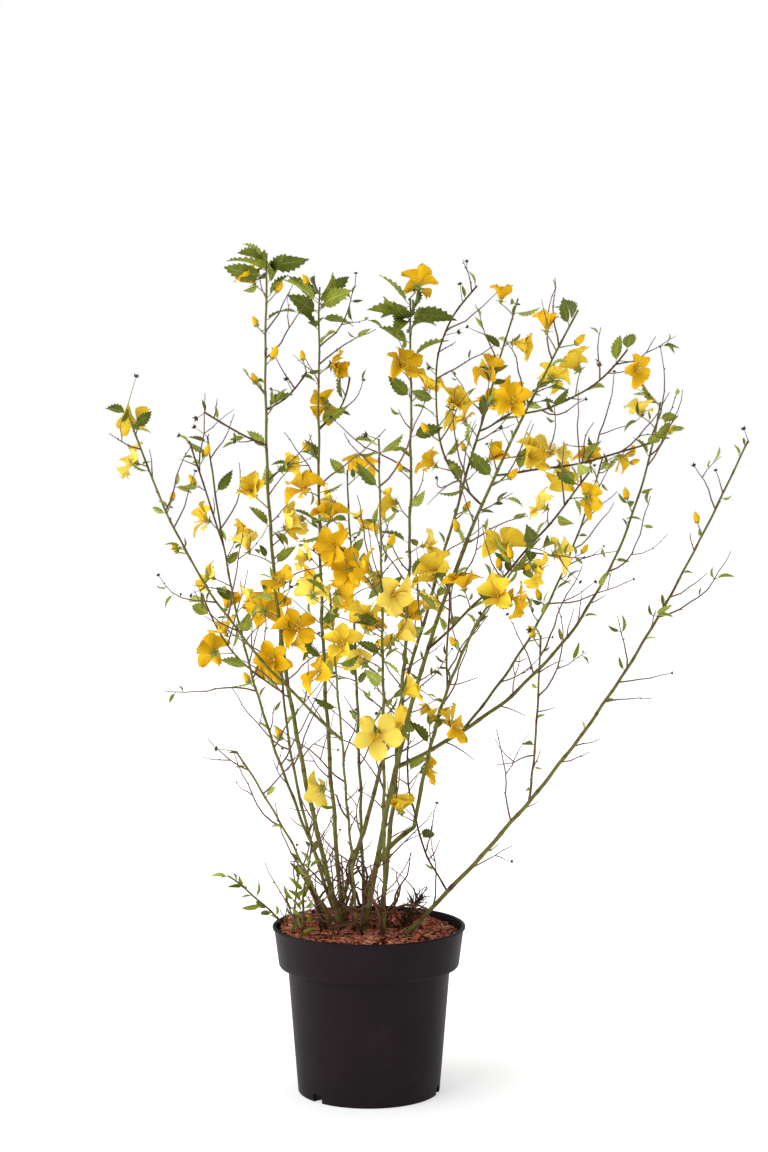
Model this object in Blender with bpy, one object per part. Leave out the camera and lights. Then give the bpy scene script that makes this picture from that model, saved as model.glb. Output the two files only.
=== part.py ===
"""A Japanese kerria in its nursery pot: pot, soil, green canes and the masses of foliage and bloom on them.

Metres, +Z up. The origin is the centre of the pot's flat underside. The front is -Y.
Every cane is one smooth stem worked out from its foot, its tip and how far it bends. Its lower part is a bare
limb, and the rest carries a mass of foliage.
"""

import math
import random
from collections import namedtuple

import bmesh
import bpy
from mathutils import Vector
from mathutils.bvhtree import BVHTree

# Pot
POT_HEIGHT = 0.1642
RIM_RADIUS = 0.0950
NECK_RADIUS = 0.0933
BAND_FOOT_RADIUS = 0.0885
BAND_FOOT = 0.1241
BODY_TOP_RADIUS = 0.0800
BASE_RADIUS = 0.0699
LIP = 0.0030
WALL = 0.0018
FLOOR = 0.0030
EDGE_ROUND = 0.0030
POT_SIDES = 40
NOTCH_ANGLES = (225, 345, 105)
NOTCH_SIZE = (0.0180, 0.0120, 0.0140)
NOTCH_TILT = -28

# Soil
SOIL_TOP = 0.1535
SOIL_CLEARANCE = 0.0005
SOIL_SHOULDER = 0.0030
GAP = 0.0003

# Canes and twigs
LIMB_SIDES = 6
TWIG_SIDES = 3
STEM_STEP = 0.050
HANDLE = 0.4
TIP_GIRTH = 0.0009
COLLAR = 0.012
CLEAR_STEP = 0.0003
FOOT_FLARE = 1.35
FLARE_SHARE = 0.04
STUB_TAPER = 0.35
TWIG_SWELL = 1.1
SHOOT_GIRTH = 0.0009
SHOOT_ANGLE = 52
SHOOT_LENGTHS = (0.014, 0.026)
BUD_SHOOT_SHARE = 0.75
SHOOT_STRETCH = 0.002
FLOWER_TURN = 0.9
FLOWER_TURN_STEP = 0.5
FLOWER_TRIES = 12
FLOWER_FACE_SPREAD = 0.75

# Leaves
NODE_GAP = 0.036
LEAF_LENGTHS = (0.022, 0.034)
TIP_LEAF_LENGTHS = (0.030, 0.046)
LEAF_WIDTH = 0.46
LEAF_WIDEST = 0.42
LEAF_THICKNESS = 0.0010
LEAF_DROOP = 0.06
LEAF_ROOT = 0.0002
LEAF_TURN = 1.1
LEAF_TURN_STEP = 0.7
LEAF_TRIES = 6
LEAF_RISE = (-0.35, 0.25)
LEAF_FACE_SPREAD = 0.4
TIP_SHARE = 0.99
TIP_TUFT = 2
TALL_TIP_TUFT = 4

# Blooms, buds and dry seed heads
BLOOM_RADII = (0.0195, 0.0245)
FRONT_BLOOM_RADIUS = 0.0265
FRONT_BLOOM_FACE = (0.05, -0.98, 0.18)
BLOOM_CUP = 0.0060
BLOOM_THICKNESS = 0.0018
BLOOM_SEAT = 0.0042
PETALS = 5
PETAL_SHOULDER = 23
PETAL_NOTCH = 0.46
BUD_SIZE = (0.0046, 0.0120)
HEAD_SIZE = (0.0026, 0.0046)
CLEARANCE = 0.0008

Stem = namedtuple(
    "Stem",
    "name start tip bend girth bare blooms buds heads",
    defaults=(0, (), (), ()),
)

# start is the foot (x, y) on the soil, or the stem that bears this one and the share along it of the fork.
# tip is the far end (x, y, z). bend is how many degrees further out than its chord a stem leans at its foot,
# and how many less at its tip. girth is the foot's radius. bare is the share that is a limb.
# blooms, buds and heads are groups: a count, and the two shares along the stem between which it is dealt out.
STEMS = (
    Stem("low_left_cane", (-0.030, -0.030), (-0.120, -0.150, 0.355), -5, 0.0013, 0.50, heads=((1, 1, 1),)),
    Stem("left_back_cane", (-0.030, 0.045), (-0.095, 0.150, 0.495), 20, 0.0019, 0.42,
         blooms=((4, 0.70, 1),), buds=((1, 0.55, 0.55),)),
    Stem("left_back_side", ("left_back_cane", 0.70), (-0.175, 0.170, 0.475), 20, 0.0011,
         blooms=((2, 0.40, 0.85),), heads=((1, 1, 1),)),
    Stem("left_tall_cane", (-0.025, -0.010), (-0.095, -0.070, 0.815), 10, 0.0026, 0.36,
         blooms=((8, 0.38, 0.72), (1, 0.95, 0.95)), buds=((5, 0.80, 1),)),
    Stem("left_tall_side", ("left_tall_cane", 0.75), (-0.150, -0.120, 0.665), 5, 0.0010, heads=((1, 1, 1),)),
    Stem("left_tall_spur", ("left_tall_cane", 0.80), (-0.060, -0.030, 0.705), 15, 0.0009,
         buds=((1, 1, 1),), heads=((1, 0.60, 0.60),)),
    Stem("left_arching_cane", (-0.020, 0.030), (-0.165, 0.100, 0.645), 10, 0.0017, 0.36,
         blooms=((5, 0.58, 0.86),), buds=((2, 0.35, 0.95),), heads=((1, 1, 1),)),
    Stem("left_arching_side", ("left_arching_cane", 0.80), (-0.180, 0.060, 0.640), 0, 0.0010,
         buds=((2, 0.40, 0.90),), heads=((1, 1, 1),)),
    Stem("inner_left_cane", (-0.025, 0.005), (-0.050, 0.080, 0.795), 10, 0.0024, 0.38,
         blooms=((5, 0.42, 0.72), (1, 0.88, 0.88)), buds=((1, 0.75, 0.75), (2, 0.96, 1))),
    Stem("inner_left_spur", ("inner_left_cane", 0.80), (-0.020, 0.110, 0.705), 25, 0.0009,
         blooms=((1, 0.30, 0.30),), heads=((1, 1, 1),)),
    Stem("front_left_cane", (-0.010, -0.030), (-0.035, -0.140, 0.500), 0, 0.0015, 0.62,
         blooms=((3, 0.70, 1),)),
    Stem("front_low_sprig", ("front_left_cane", 0.35), (-0.030, -0.085, 0.305), 10, 0.0010,
         blooms=((1, 1, 1),)),
    Stem("far_left_bough", ("front_left_cane", 0.60), (-0.230, -0.050, 0.670), 15, 0.0014, 0.34,
         blooms=((2, 0.82, 0.98),), buds=((2, 0.55, 0.80),), heads=((1, 1, 1),)),
    Stem("back_cane", (-0.005, 0.050), (-0.025, 0.220, 0.610), -5, 0.0019, 0.38,
         blooms=((8, 0.50, 1),), buds=((1, 0.85, 0.85),)),
    Stem("back_right_cane", (-0.035, 0.020), (0.155, 0.175, 0.790), 0, 0.0024, 0.36,
         blooms=((1, 0.45, 0.45), (6, 0.72, 1)), buds=((3, 0.52, 0.80),), heads=((1, 0.90, 0.90),)),
    Stem("back_right_side", ("back_right_cane", 0.80), (0.175, 0.200, 0.695), 10, 0.0010,
         blooms=((1, 0.75, 0.75),), heads=((2, 0.10, 1),)),
    Stem("front_cane", (0.015, -0.040), (0.010, -0.220, 0.640), -20, 0.0018, 0.30,
         blooms=((1, 0.36, 0.36), (6, 0.42, 0.74)), buds=((2, 0.50, 0.85),), heads=((2, 1, 1),)),
    Stem("middle_tall_cane", (0.010, 0.005), (0.040, 0.030, 0.780), 5, 0.0025, 0.36,
         blooms=((5, 0.40, 0.70), (2, 0.84, 0.90), (2, 1, 1)), buds=((2, 0.65, 0.98),),
         heads=((1, 0.97, 0.97),)),
    Stem("middle_tall_side", ("middle_tall_cane", 0.55), (-0.050, -0.050, 0.565), 15, 0.0011,
         blooms=((3, 0.40, 1),), buds=((1, 0.25, 0.25),)),
    Stem("main_right_cane", (-0.005, -0.015), (0.195, -0.100, 0.760), -10, 0.0029, 0.36,
         blooms=((1, 0.55, 0.55), (4, 0.75, 0.97)), buds=((4, 0.58, 1),), heads=((1, 0.80, 0.80),)),
    Stem("main_right_spur", ("main_right_cane", 0.45), (0.200, -0.170, 0.610), 5, 0.0013,
         blooms=((6, 0.18, 0.95),), buds=((2, 0.42, 0.55),)),
    Stem("main_right_side", ("main_right_cane", 0.75), (0.285, 0.020, 0.640), 5, 0.0011,
         blooms=((2, 0.12, 0.48),), buds=((2, 0.15, 0.95),)),
    Stem("main_right_twig", ("main_right_cane", 0.70), (0.065, -0.020, 0.680), 30, 0.0011,
         blooms=((2, 0.20, 1),), buds=((1, 0.68, 0.68),)),
    Stem("main_right_wand", ("main_right_twig", 1.0), (0.105, 0.000, 0.790), -25, 0.0009, heads=((3, 0, 1),)),
    Stem("main_right_top", ("main_right_cane", 0.85), (0.245, -0.060, 0.725), 20, 0.0010,
         blooms=((2, 0.25, 0.95),), heads=((2, 0.60, 1),)),
    Stem("elbow_cane_foot", (0.000, 0.030), (0.045, 0.035, 0.255), -35, 0.0034, 1.0),
    Stem("elbow_cane", ("elbow_cane_foot", 1.0), (0.155, -0.170, 0.550), -20, 0.0021, 0.16,
         blooms=((2, 0.18, 0.34), (2, 0.70, 1)), buds=((3, 0.45, 0.98),)),
    Stem("elbow_cane_side", ("elbow_cane", 0.40), (0.080, 0.030, 0.505), -15, 0.0011,
         blooms=((1, 0.85, 0.85),), buds=((1, 1, 1),)),
    Stem("right_bough", ("main_right_cane", 0.25), (0.300, 0.130, 0.680), 30, 0.0021, 0.40,
         blooms=((1, 0.95, 0.95),), buds=((2, 0.70, 1),)),
    Stem("right_inner_bough", ("right_bough", 0.15), (0.250, 0.220, 0.625), 15, 0.0015, 0.40,
         blooms=((2, 0.92, 1),), buds=((3, 0.40, 0.95),)),
    Stem("low_right_cane", (0.030, -0.025), (0.360, -0.060, 0.640), 10, 0.0023, 0.42,
         buds=((1, 0.85, 0.85),), heads=((1, 1, 1),)),
    Stem("front_right_side", ("low_right_cane", 0.30), (0.155, -0.190, 0.465), 15, 0.0012,
         buds=((1, 0.95, 0.95),), heads=((1, 1, 1),)),
    Stem("low_middle_sprig", ("low_right_cane", 0.10), (0.040, 0.020, 0.365), 30, 0.0010,
         blooms=((3, 0.30, 1),)),
    Stem("rim_sprig", (-0.080, 0.010), (-0.140, 0.010, 0.210), -10, 0.0010),
    Stem("left_sucker", (-0.075, -0.025), (-0.065, -0.025, 0.230), -5, 0.0011),
    Stem("inner_sucker", (-0.065, -0.045), (-0.055, -0.040, 0.250), -5, 0.0013),
    Stem("dead_stub_left", (-0.040, -0.005), (-0.070, -0.010, 0.225), -5, 0.0026, 1.0),
    Stem("dead_stub_middle", (0.015, -0.015), (0.015, -0.020, 0.200), 0, 0.0028, 1.0),
    Stem("dead_stub_right", (0.030, 0.000), (0.050, 0.005, 0.190), -5, 0.0018, 1.0),
)
BY_NAME = {stem.name: stem for stem in STEMS}
TALL = ("left_tall_cane", "inner_left_cane", "middle_tall_cane")
FRONT_BLOOM = "front_cane blooms 0"

# (base colour, roughness) of each material
FINISHES = {
    "pot": ((0.022, 0.020, 0.022, 1.0), 0.48),
    "soil": ((0.130, 0.055, 0.030, 1.0), 0.95),
    "cane": ((0.120, 0.160, 0.045, 1.0), 0.55),
    "stub": ((0.110, 0.050, 0.030, 1.0), 0.85),
    "foliage": ((0.780, 0.480, 0.030, 1.0), 0.65),
}

Item = namedtuple("Item", "low high tree keys")


# Objects and materials

def clear_scene():
    for thing in list(bpy.data.objects):
        bpy.data.objects.remove(thing, do_unlink=True)


def material(finish, owner):
    colour, roughness = FINISHES[finish]
    made = bpy.data.materials.new(f"{owner}_{finish}")
    made.use_nodes = True
    shader = made.node_tree.nodes["Principled BSDF"]
    shader.inputs["Base Color"].default_value = colour
    shader.inputs["Roughness"].default_value = roughness
    shader.inputs["Metallic"].default_value = 0.0
    return made


def solid(name, shape, finish=None, at_point=(0, 0, 0), collection=None):
    """An object from a shape, (points, faces), with its origin at a point of its own."""
    points, faces = shape
    place = Vector(at_point)
    mesh = bpy.data.meshes.new(name)
    mesh.from_pydata([tuple(point - place) for point in points], [], faces)
    thing = bpy.data.objects.new(name, mesh)
    thing.location = place
    if finish:
        mesh.materials.append(material(finish, name))
    (collection or bpy.context.scene.collection).objects.link(thing)
    return thing


def shade_round(thing, sharp_degrees):
    thing.data.shade_smooth()
    thing.data.set_sharp_from_angle(angle=math.radians(sharp_degrees))


# Basic shapes, each as (points, faces)

def turned(profile, sides):
    """A closed outline of (radius, height) points, anticlockwise in its plane, turned round the Z axis."""
    points = []
    rings = []
    for radius, height in profile:
        if radius == 0:
            rings.append([len(points)] * sides)
            points.append(Vector((0, 0, height)))
            continue
        rings.append(list(range(len(points), len(points) + sides)))
        for k in range(sides):
            angle = math.tau * k / sides
            points.append(Vector((radius * math.cos(angle), radius * math.sin(angle), height)))
    faces = []
    for ring, above in zip(rings, rings[1:] + rings[:1]):
        for k in range(sides):
            after = (k + 1) % sides
            face = tuple(dict.fromkeys((ring[k], ring[after], above[after], above[k])))
            if len(face) > 2:
                faces.append(face)
    return points, faces


def tube(line, radii, sides, first=None, last=None):
    """A closed tapering tube along a line. Its two ends are cut square to the directions given for them."""
    points = []
    side = Vector((0, 1, 0))
    for i, centre in enumerate(line):
        before = line[max(i - 1, 0)]
        after = line[min(i + 1, len(line) - 1)]
        along = (after - before).normalized()
        if first and i == 0:
            along = first
        if last and i == len(line) - 1:
            along = last
        side = (side - along * side.dot(along)).normalized()
        across = along.cross(side)
        for k in range(sides):
            angle = math.tau * k / sides
            points.append(centre + (side * math.cos(angle) + across * math.sin(angle)) * radii[i])
    faces = [tuple(reversed(range(sides))), tuple(range(len(points) - sides, len(points)))]
    for i in range(len(line) - 1):
        for k in range(sides):
            low = i * sides + k
            near = i * sides + (k + 1) % sides
            faces.append((low, near, near + sides, low + sides))
    return points, faces


def fan(below, above, rim):
    """A thin closed lens: faces from a point below and from a point above to a rim that runs round them."""
    faces = []
    for k in range(len(rim)):
        here = 2 + k
        after = 2 + (k + 1) % len(rim)
        faces.append((0, after, here))
        faces.append((1, here, after))
    return [below, above] + rim, faces


def leaf(base, along, face, length, grow=0.0):
    """A leaf of 8 faces: its blade is widest below the middle, and its root is sunk in the twig."""
    across = along.cross(face).normalized()
    up = across.cross(along)
    middle = base + along * length * LEAF_WIDEST
    half = across * (length * LEAF_WIDTH / 2 + grow)
    thick = up * (LEAF_THICKNESS / 2 + grow)
    tip = base + along * (length + grow) - up * length * LEAF_DROOP
    return fan(middle - thick, middle + thick, [base - along * LEAF_ROOT, middle + half, tip, middle - half])


def bloom(end, face, radius, spin, grow=0.0):
    """A single five-petalled bloom, borne at its first petal's foot: a cup notched between the petals."""
    side = face.orthogonal().normalized()
    across = face.cross(side)

    def out(degrees):
        return side * math.cos(math.radians(degrees)) + across * math.sin(math.radians(degrees))

    centre = end - out(spin) * BLOOM_SEAT - face * BLOOM_CUP * BLOOM_SEAT / radius
    rim = []
    for petal in range(PETALS):
        middle = spin + 360 / PETALS * petal
        for turn, share in ((-PETAL_SHOULDER, 1), (PETAL_SHOULDER, 1), (180 / PETALS, PETAL_NOTCH)):
            rim.append(centre + out(middle + turn) * (radius + grow) * share + face * BLOOM_CUP * share)
    below = centre - face * (BLOOM_THICKNESS * 0.6 + grow)
    above = centre + face * (BLOOM_THICKNESS * 0.4 + grow)
    return fan(below, above, rim)


def pod(root, end, width, length, grow=0.0):
    """A side shoot that swells at its end into a pointed bud or a dry seed head."""
    way = (end - root).normalized()
    line = [root, end, end + way * length * 0.45, end + way * (length + grow)]
    radii = [SHOOT_GIRTH + grow, SHOOT_GIRTH * 0.7 + grow, width + grow, SHOOT_GIRTH * 0.3]
    return tube(line, radii, TWIG_SIDES)


# Pot and soil

def outer_wall():
    """The pot's outside, (radius, height) from its underside up: body, ledge, broad band and rim."""
    return [
        (BASE_RADIUS - EDGE_ROUND / 2, 0),
        (BASE_RADIUS, EDGE_ROUND / 2),
        (BODY_TOP_RADIUS, BAND_FOOT),
        (BAND_FOOT_RADIUS - EDGE_ROUND, BAND_FOOT),
        (BAND_FOOT_RADIUS, BAND_FOOT + EDGE_ROUND),
        (NECK_RADIUS, POT_HEIGHT - LIP),
        (RIM_RADIUS, POT_HEIGHT - LIP),
        (RIM_RADIUS, POT_HEIGHT),
    ]


def inner_wall():
    """The pot's inside, (radius, height) from its floor up."""
    return [
        (BASE_RADIUS - WALL, FLOOR),
        (BODY_TOP_RADIUS - WALL, BAND_FOOT - EDGE_ROUND),
        (BAND_FOOT_RADIUS - WALL, BAND_FOOT + EDGE_ROUND),
        (NECK_RADIUS - WALL, POT_HEIGHT),
    ]


def pot_shape():
    return turned([(0, 0)] + outer_wall() + inner_wall()[::-1] + [(0, FLOOR)], POT_SIDES)


def soil_shape():
    """The root ball and its bark mulch, a filling that stays clear of the pot's wall and floor."""
    low_wall, step, band, rim = inner_wall()
    shoulder = SOIL_TOP - SOIL_SHOULDER
    shoulder_radius = band[0] + (rim[0] - band[0]) * (shoulder - band[1]) / (rim[1] - band[1])
    side = [(low_wall[0], FLOOR + GAP), step, band, (shoulder_radius, shoulder)]
    side = [(radius - SOIL_CLEARANCE, height) for radius, height in side]
    top = [(side[-1][0] - SOIL_SHOULDER, SOIL_TOP), (0, SOIL_TOP)]
    return turned([(0, FLOOR + GAP)] + side + top, POT_SIDES)


def make_pot():
    pot = solid("pot", pot_shape(), "pot")
    shade_round(pot, 25)
    for number, degrees in enumerate(NOTCH_ANGLES):
        cutter = make_notch_cutter(number, math.radians(degrees))
        cut = pot.modifiers.new(cutter.name, "BOOLEAN")
        cut.operation = "DIFFERENCE"
        cut.object = cutter


def make_notch_cutter(number, angle):
    """A wedge across the pot's lower edge that lets water out."""
    bpy.ops.mesh.primitive_cube_add(size=1)
    cutter = bpy.context.object
    cutter.name = f"drain_notch_cutter_{number}"
    cutter.scale = NOTCH_SIZE
    cutter.rotation_euler = (0, math.radians(NOTCH_TILT), angle)
    cutter.location = (BASE_RADIUS * math.cos(angle), BASE_RADIUS * math.sin(angle), 0)
    cutter.hide_render = True
    cutter.display_type = "WIRE"
    return cutter


def make_soil():
    shade_round(solid("soil", soil_shape(), "soil"), 30)


# Stems

def in_soil(stem):
    return not isinstance(stem.start[0], str)


def bears_foliage(stem):
    return stem.bare < 1


def lean_vector(heading, lean):
    """The direction that leans so many degrees from upright towards a heading."""
    out = Vector((math.cos(math.radians(heading)), math.sin(math.radians(heading)), 0))
    return out * math.sin(math.radians(lean)) + Vector((0, 0, math.cos(math.radians(lean))))


def stem_line(stem, root):
    """The points of a stem's axis, spread along a smooth curve in the upright plane of its two ends."""
    end = Vector(stem.tip)
    chord = end - root
    heading = math.degrees(math.atan2(chord.y, chord.x))
    slant = math.degrees(chord.angle(Vector((0, 0, 1))))
    first = root + lean_vector(heading, slant + stem.bend) * chord.length * HANDLE
    last = end - lean_vector(heading, slant - stem.bend) * chord.length * HANDLE
    steps = max(3, round(chord.length / STEM_STEP))
    line = []
    for i in range(steps + 1):
        t = i / steps
        s = 1 - t
        line.append(s**3 * root + 3 * s * s * t * first + 3 * s * t * t * last + t**3 * end)
    return line


def all_lines():
    """The axis of every stem, each grown from the soil or from the stem that bears it."""
    lines = {}
    for stem in STEMS:
        if in_soil(stem):
            root = Vector((*stem.start, SOIL_TOP))
        else:
            parent, share = stem.start
            root = at(lines[parent], share)[0]
        lines[stem.name] = stem_line(stem, root)
    return lines


def at(line, share):
    """The point and the direction at a share of a line."""
    place = min(max(share, 0), 1) * (len(line) - 1)
    i = min(int(place), len(line) - 2)
    return line[i].lerp(line[i + 1], place - i), (line[i + 1] - line[i]).normalized()


def girth_at(stem, share):
    """The radius at a share of the stem, with a slight flare at a limb's foot in the soil."""
    if not bears_foliage(stem):
        return stem.girth * (1 - STUB_TAPER * share)
    radius = stem.girth + (TIP_GIRTH - stem.girth) * share
    if in_soil(stem) and stem.bare and share < FLARE_SHARE:
        radius *= 1 + (FOOT_FLARE - 1) * (1 - share / FLARE_SHARE)
    return radius


def mass_of(stem):
    """The name of the mass that a stem belongs to: its own, or that of the mass it forks from."""
    if not in_soil(stem) and not stem.bare:
        parent, share = stem.start
        if BY_NAME[parent].bare <= share:
            return mass_of(BY_NAME[parent])
    return stem.name + "_foliage"


def clear_share(stem, line, garden):
    """The share at which a side stem comes just clear of the limb that bears it."""
    chord = (line[-1] - line[0]).length
    sides = LIMB_SIDES if stem.bare else TWIG_SIDES
    share = 0.0
    while True:
        start, along = at(line, share)
        end = at(line, share + COLLAR / chord)[0]
        radius = girth_at(stem, share) * TWIG_SWELL + GAP
        if not garden.touches(tube([start - along * GAP, end], [radius] * 2, sides, along), stem.start[0]):
            return share
        share += CLEAR_STEP / chord


def first_share(stem, line, garden):
    """The share at which a mass's stem starts: on its own limb's tip, on the soil, in a mass or on a limb."""
    if stem.bare:
        return stem.bare + GAP / (line[-1] - line[0]).length
    if in_soil(stem) or BY_NAME[stem.start[0]].bare <= stem.start[1]:
        return 0.0
    return clear_share(stem, line, garden)


def stretch(line, low, high):
    """The part of a line between two shares, as (points, shares, direction of the first cut, of the last)."""
    last = len(line) - 1
    shares = [low] + [i / last for i in range(last + 1) if low * last + 0.1 < i < high * last - 0.1] + [high]
    return [at(line, share)[0] for share in shares], shares, at(line, low)[1], at(line, high)[1]


# Planting, where nothing new touches what it doesn't grow from

def box_of(points):
    xs, ys, zs = zip(*points)
    return (min(xs), min(ys), min(zs)), (max(xs), max(ys), max(zs))


class Garden:
    """What has been planted so far, and the shapes that each mass will be joined from."""

    def __init__(self):
        self.items = []
        self.masses = {}

    def clear(self, shape, keys):
        """Whether a shape stays clear of everything that carries none of these keys."""
        low, high = box_of(shape[0])
        tree = BVHTree.FromPolygons(*shape)
        for item in self.items:
            apart = any(item.low[axis] > high[axis] or item.high[axis] < low[axis] for axis in range(3))
            if not apart and not item.keys & keys and item.tree.overlap(tree):
                return False
        return True

    def touches(self, shape, key):
        """Whether a shape crosses the surface of what carries a key."""
        tree = BVHTree.FromPolygons(*shape)
        return any(item.tree.overlap(tree) for item in self.items if key in item.keys)

    def add(self, shape, keys, mass=None):
        self.items.append(Item(*box_of(shape[0]), BVHTree.FromPolygons(*shape), frozenset(keys)))
        if mass:
            self.masses.setdefault(mass, []).append(shape)


def make_limbs(lines, garden):
    """The bare limbs: cut level on the soil, square at the top, and 0.3 mm clear of what bears them."""
    for stem in STEMS:
        if not stem.bare:
            continue
        line = lines[stem.name]
        on_tip = not in_soil(stem) and stem.start[1] == 1
        low = 0.0 if in_soil(stem) or on_tip else clear_share(stem, line, garden)
        route, shares, first, last = stretch(line, low, stem.bare)
        if in_soil(stem):
            first = Vector((0, 0, 1))
            route.insert(1, at(line, FLARE_SHARE)[0])
            shares.insert(1, FLARE_SHARE)
        if on_tip:
            first = at(lines[stem.start[0]], 1)[1]
        if in_soil(stem) or on_tip:
            route[0] = route[0] + first * GAP
        shape = tube(route, [girth_at(stem, share) for share in shares], LIMB_SIDES, first, last)
        limb = solid(stem.name, shape, "cane" if bears_foliage(stem) else "stub", route[0])
        shade_round(limb, 65)
        garden.add(shape, [stem.name])


def plant_stems(lines, garden):
    """The stems that run on through the masses, and the share at which each starts, by name."""
    starts = {}
    for stem in filter(bears_foliage, STEMS):
        starts[stem.name] = first_share(stem, lines[stem.name], garden)
        route, shares, first, last = stretch(lines[stem.name], starts[stem.name], 1)
        if in_soil(stem) and not stem.bare:
            first = Vector((0, 0, 1))
            route[0] = route[0] + first * GAP
        radii = [girth_at(stem, share) * TWIG_SWELL for share in shares]
        garden.add(tube(route, radii, TWIG_SIDES, first, last), [stem.name], mass_of(stem))
    return starts


def shoot_direction(along, side, turn):
    """The way a side shoot points: out to its side of the stem, turned round it, and forward along it."""
    right = Vector((0, 1, 0)).cross(along).normalized()
    back = along.cross(right)
    out = right * side * math.cos(turn) + back * math.sin(turn)
    angle = math.radians(SHOOT_ANGLE)
    return (out * math.sin(angle) + along * math.cos(angle)).normalized()


def random_way(rng):
    """A direction drawn evenly from all round."""
    height = rng.uniform(-1, 1)
    angle = rng.uniform(0, math.tau)
    flat = math.sqrt(1 - height * height)
    return Vector((flat * math.cos(angle), flat * math.sin(angle), height))


def turns(turn, step, count):
    """A turn, then turns further and further to either side of it."""
    return [turn + (k + 1) // 2 * (-1) ** k * step for k in range(count)]


def flower_places(stem, kind):
    """The share along the stem and the side of each flower of a kind, which stand left and right by turns."""
    places = []
    for count, low, high in getattr(stem, kind):
        for number in range(count):
            share = low + (high - low) * (number + 0.5) / count
            places.append((share, 1 if len(places) % 2 else -1))
    return places


def plant_flowers(lines, garden):
    """Blooms, buds and dry heads at the ends of short side shoots."""
    for stem in STEMS:
        for kind in ("blooms", "buds", "heads"):
            for number, (share, side) in enumerate(flower_places(stem, kind)):
                point, along = at(lines[stem.name], share)
                plant_flower(stem, kind, f"{stem.name} {kind} {number}", point, along, side, garden)


def plant_flower(stem, kind, key, point, along, side, garden):
    """One flower, turned round its stem until it touches nothing, or left out."""
    rng = random.Random(key)
    turn = rng.uniform(-FLOWER_TURN, FLOWER_TURN)
    length = rng.uniform(*SHOOT_LENGTHS) * (1 if kind == "blooms" else BUD_SHOOT_SHARE)
    lean = random_way(rng) * FLOWER_FACE_SPREAD
    radius = rng.uniform(*BLOOM_RADII)
    spin = rng.uniform(0, 360 / PETALS)
    for k, here in enumerate(turns(turn, FLOWER_TURN_STEP, FLOWER_TRIES)):
        way = shoot_direction(along, side, here)
        end = point + way * (length + SHOOT_STRETCH * k)
        face = (way + lean).normalized()
        if key == FRONT_BLOOM:
            face = Vector(FRONT_BLOOM_FACE).normalized()
            radius = FRONT_BLOOM_RADIUS

        def flower(grow):
            if kind == "blooms":
                return bloom(end, face, radius, spin, grow)
            return pod(point, end, *(BUD_SIZE if kind == "buds" else HEAD_SIZE), grow)

        room = tube([point, end], [SHOOT_GIRTH + CLEARANCE] * 2, TWIG_SIDES)
        own = {key} if kind == "blooms" else {key, stem.name}
        if garden.clear(flower(CLEARANCE), own) and garden.clear(room, {key, stem.name}):
            if kind == "blooms":
                twig = tube([point, end], [SHOOT_GIRTH * TWIG_SWELL, SHOOT_GIRTH * 0.8], TWIG_SIDES)
                garden.add(twig, [key], mass_of(stem))
            garden.add(flower(0), [key], mass_of(stem))
            return


def plant_leaves(lines, starts, garden):
    """Leaves at the nodes of every stem, one and two by turns and on either side, and a tuft at each tip."""
    for stem in filter(bears_foliage, STEMS):
        line = lines[stem.name]
        low = starts[stem.name]
        length = sum((after - before).length for before, after in zip(line, line[1:])) * (1 - low)
        nodes = max(1, int(length / NODE_GAP))
        for node in range(nodes):
            share = low + (1 - low) * (node + 0.6) / nodes
            for pair in range(1 + node % 2):
                side = 1 if (node + pair) % 2 else -1
                plant_leaf(stem, line, share, f"{stem.name} leaf {node} {pair}", side, garden)
        for number in range(TALL_TIP_TUFT if stem.name in TALL else TIP_TUFT):
            side = 1 if number % 2 else -1
            plant_leaf(stem, line, TIP_SHARE, f"{stem.name} tip leaf {number}", side, garden)


def plant_leaf(stem, line, share, key, side, garden):
    """One leaf, turned round its stem until it touches nothing, or left out."""
    rng = random.Random(key)
    point, along = at(line, share)
    turn = rng.uniform(-LEAF_TURN, LEAF_TURN)
    length = rng.uniform(*(TIP_LEAF_LENGTHS if stem.name in TALL and share > 0.85 else LEAF_LENGTHS))
    rise = Vector((0, 0, rng.uniform(*LEAF_RISE)))
    face = (Vector((0, 0, 1)) + random_way(rng) * LEAF_FACE_SPREAD).normalized()
    for here in turns(turn, LEAF_TURN_STEP, LEAF_TRIES):
        way = (shoot_direction(along, side, here) + rise).normalized()
        if abs(way.dot(face)) > 0.9:
            continue
        if garden.clear(leaf(point, way, face, length, CLEARANCE), {stem.name}):
            garden.add(leaf(point, way, face, length), [key], mass_of(stem))
            return


# Joining

def fuse_masses(garden):
    """Each mass joined into one solid by one Boolean union on a collection."""
    for name, shapes in garden.masses.items():
        base = solid(name, shapes[0], "foliage", shapes[0][0][0])
        loose = bpy.data.collections.new(name + "_loose")
        bpy.context.scene.collection.children.link(loose)
        for number, shape in enumerate(shapes[1:]):
            solid(f"{name}_piece_{number}", shape, collection=loose)
        join = base.modifiers.new("join", "BOOLEAN")
        join.operation = "UNION"
        join.operand_type = "COLLECTION"
        join.collection = loose
        bpy.context.view_layer.objects.active = base
        bpy.ops.object.modifier_apply(modifier=join.name)
        for thing in list(loose.objects):
            bpy.data.objects.remove(thing, do_unlink=True)
        bpy.data.collections.remove(loose)
        keep_main_shell(base)


def shell_from(face, seen):
    """All the faces connected with a face."""
    shell = []
    queue = [face]
    seen.add(face)
    while queue:
        here = queue.pop()
        shell.append(here)
        beside = {other for edge in here.edges for other in edge.link_faces} - seen
        seen |= beside
        queue.extend(beside)
    return shell


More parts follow.
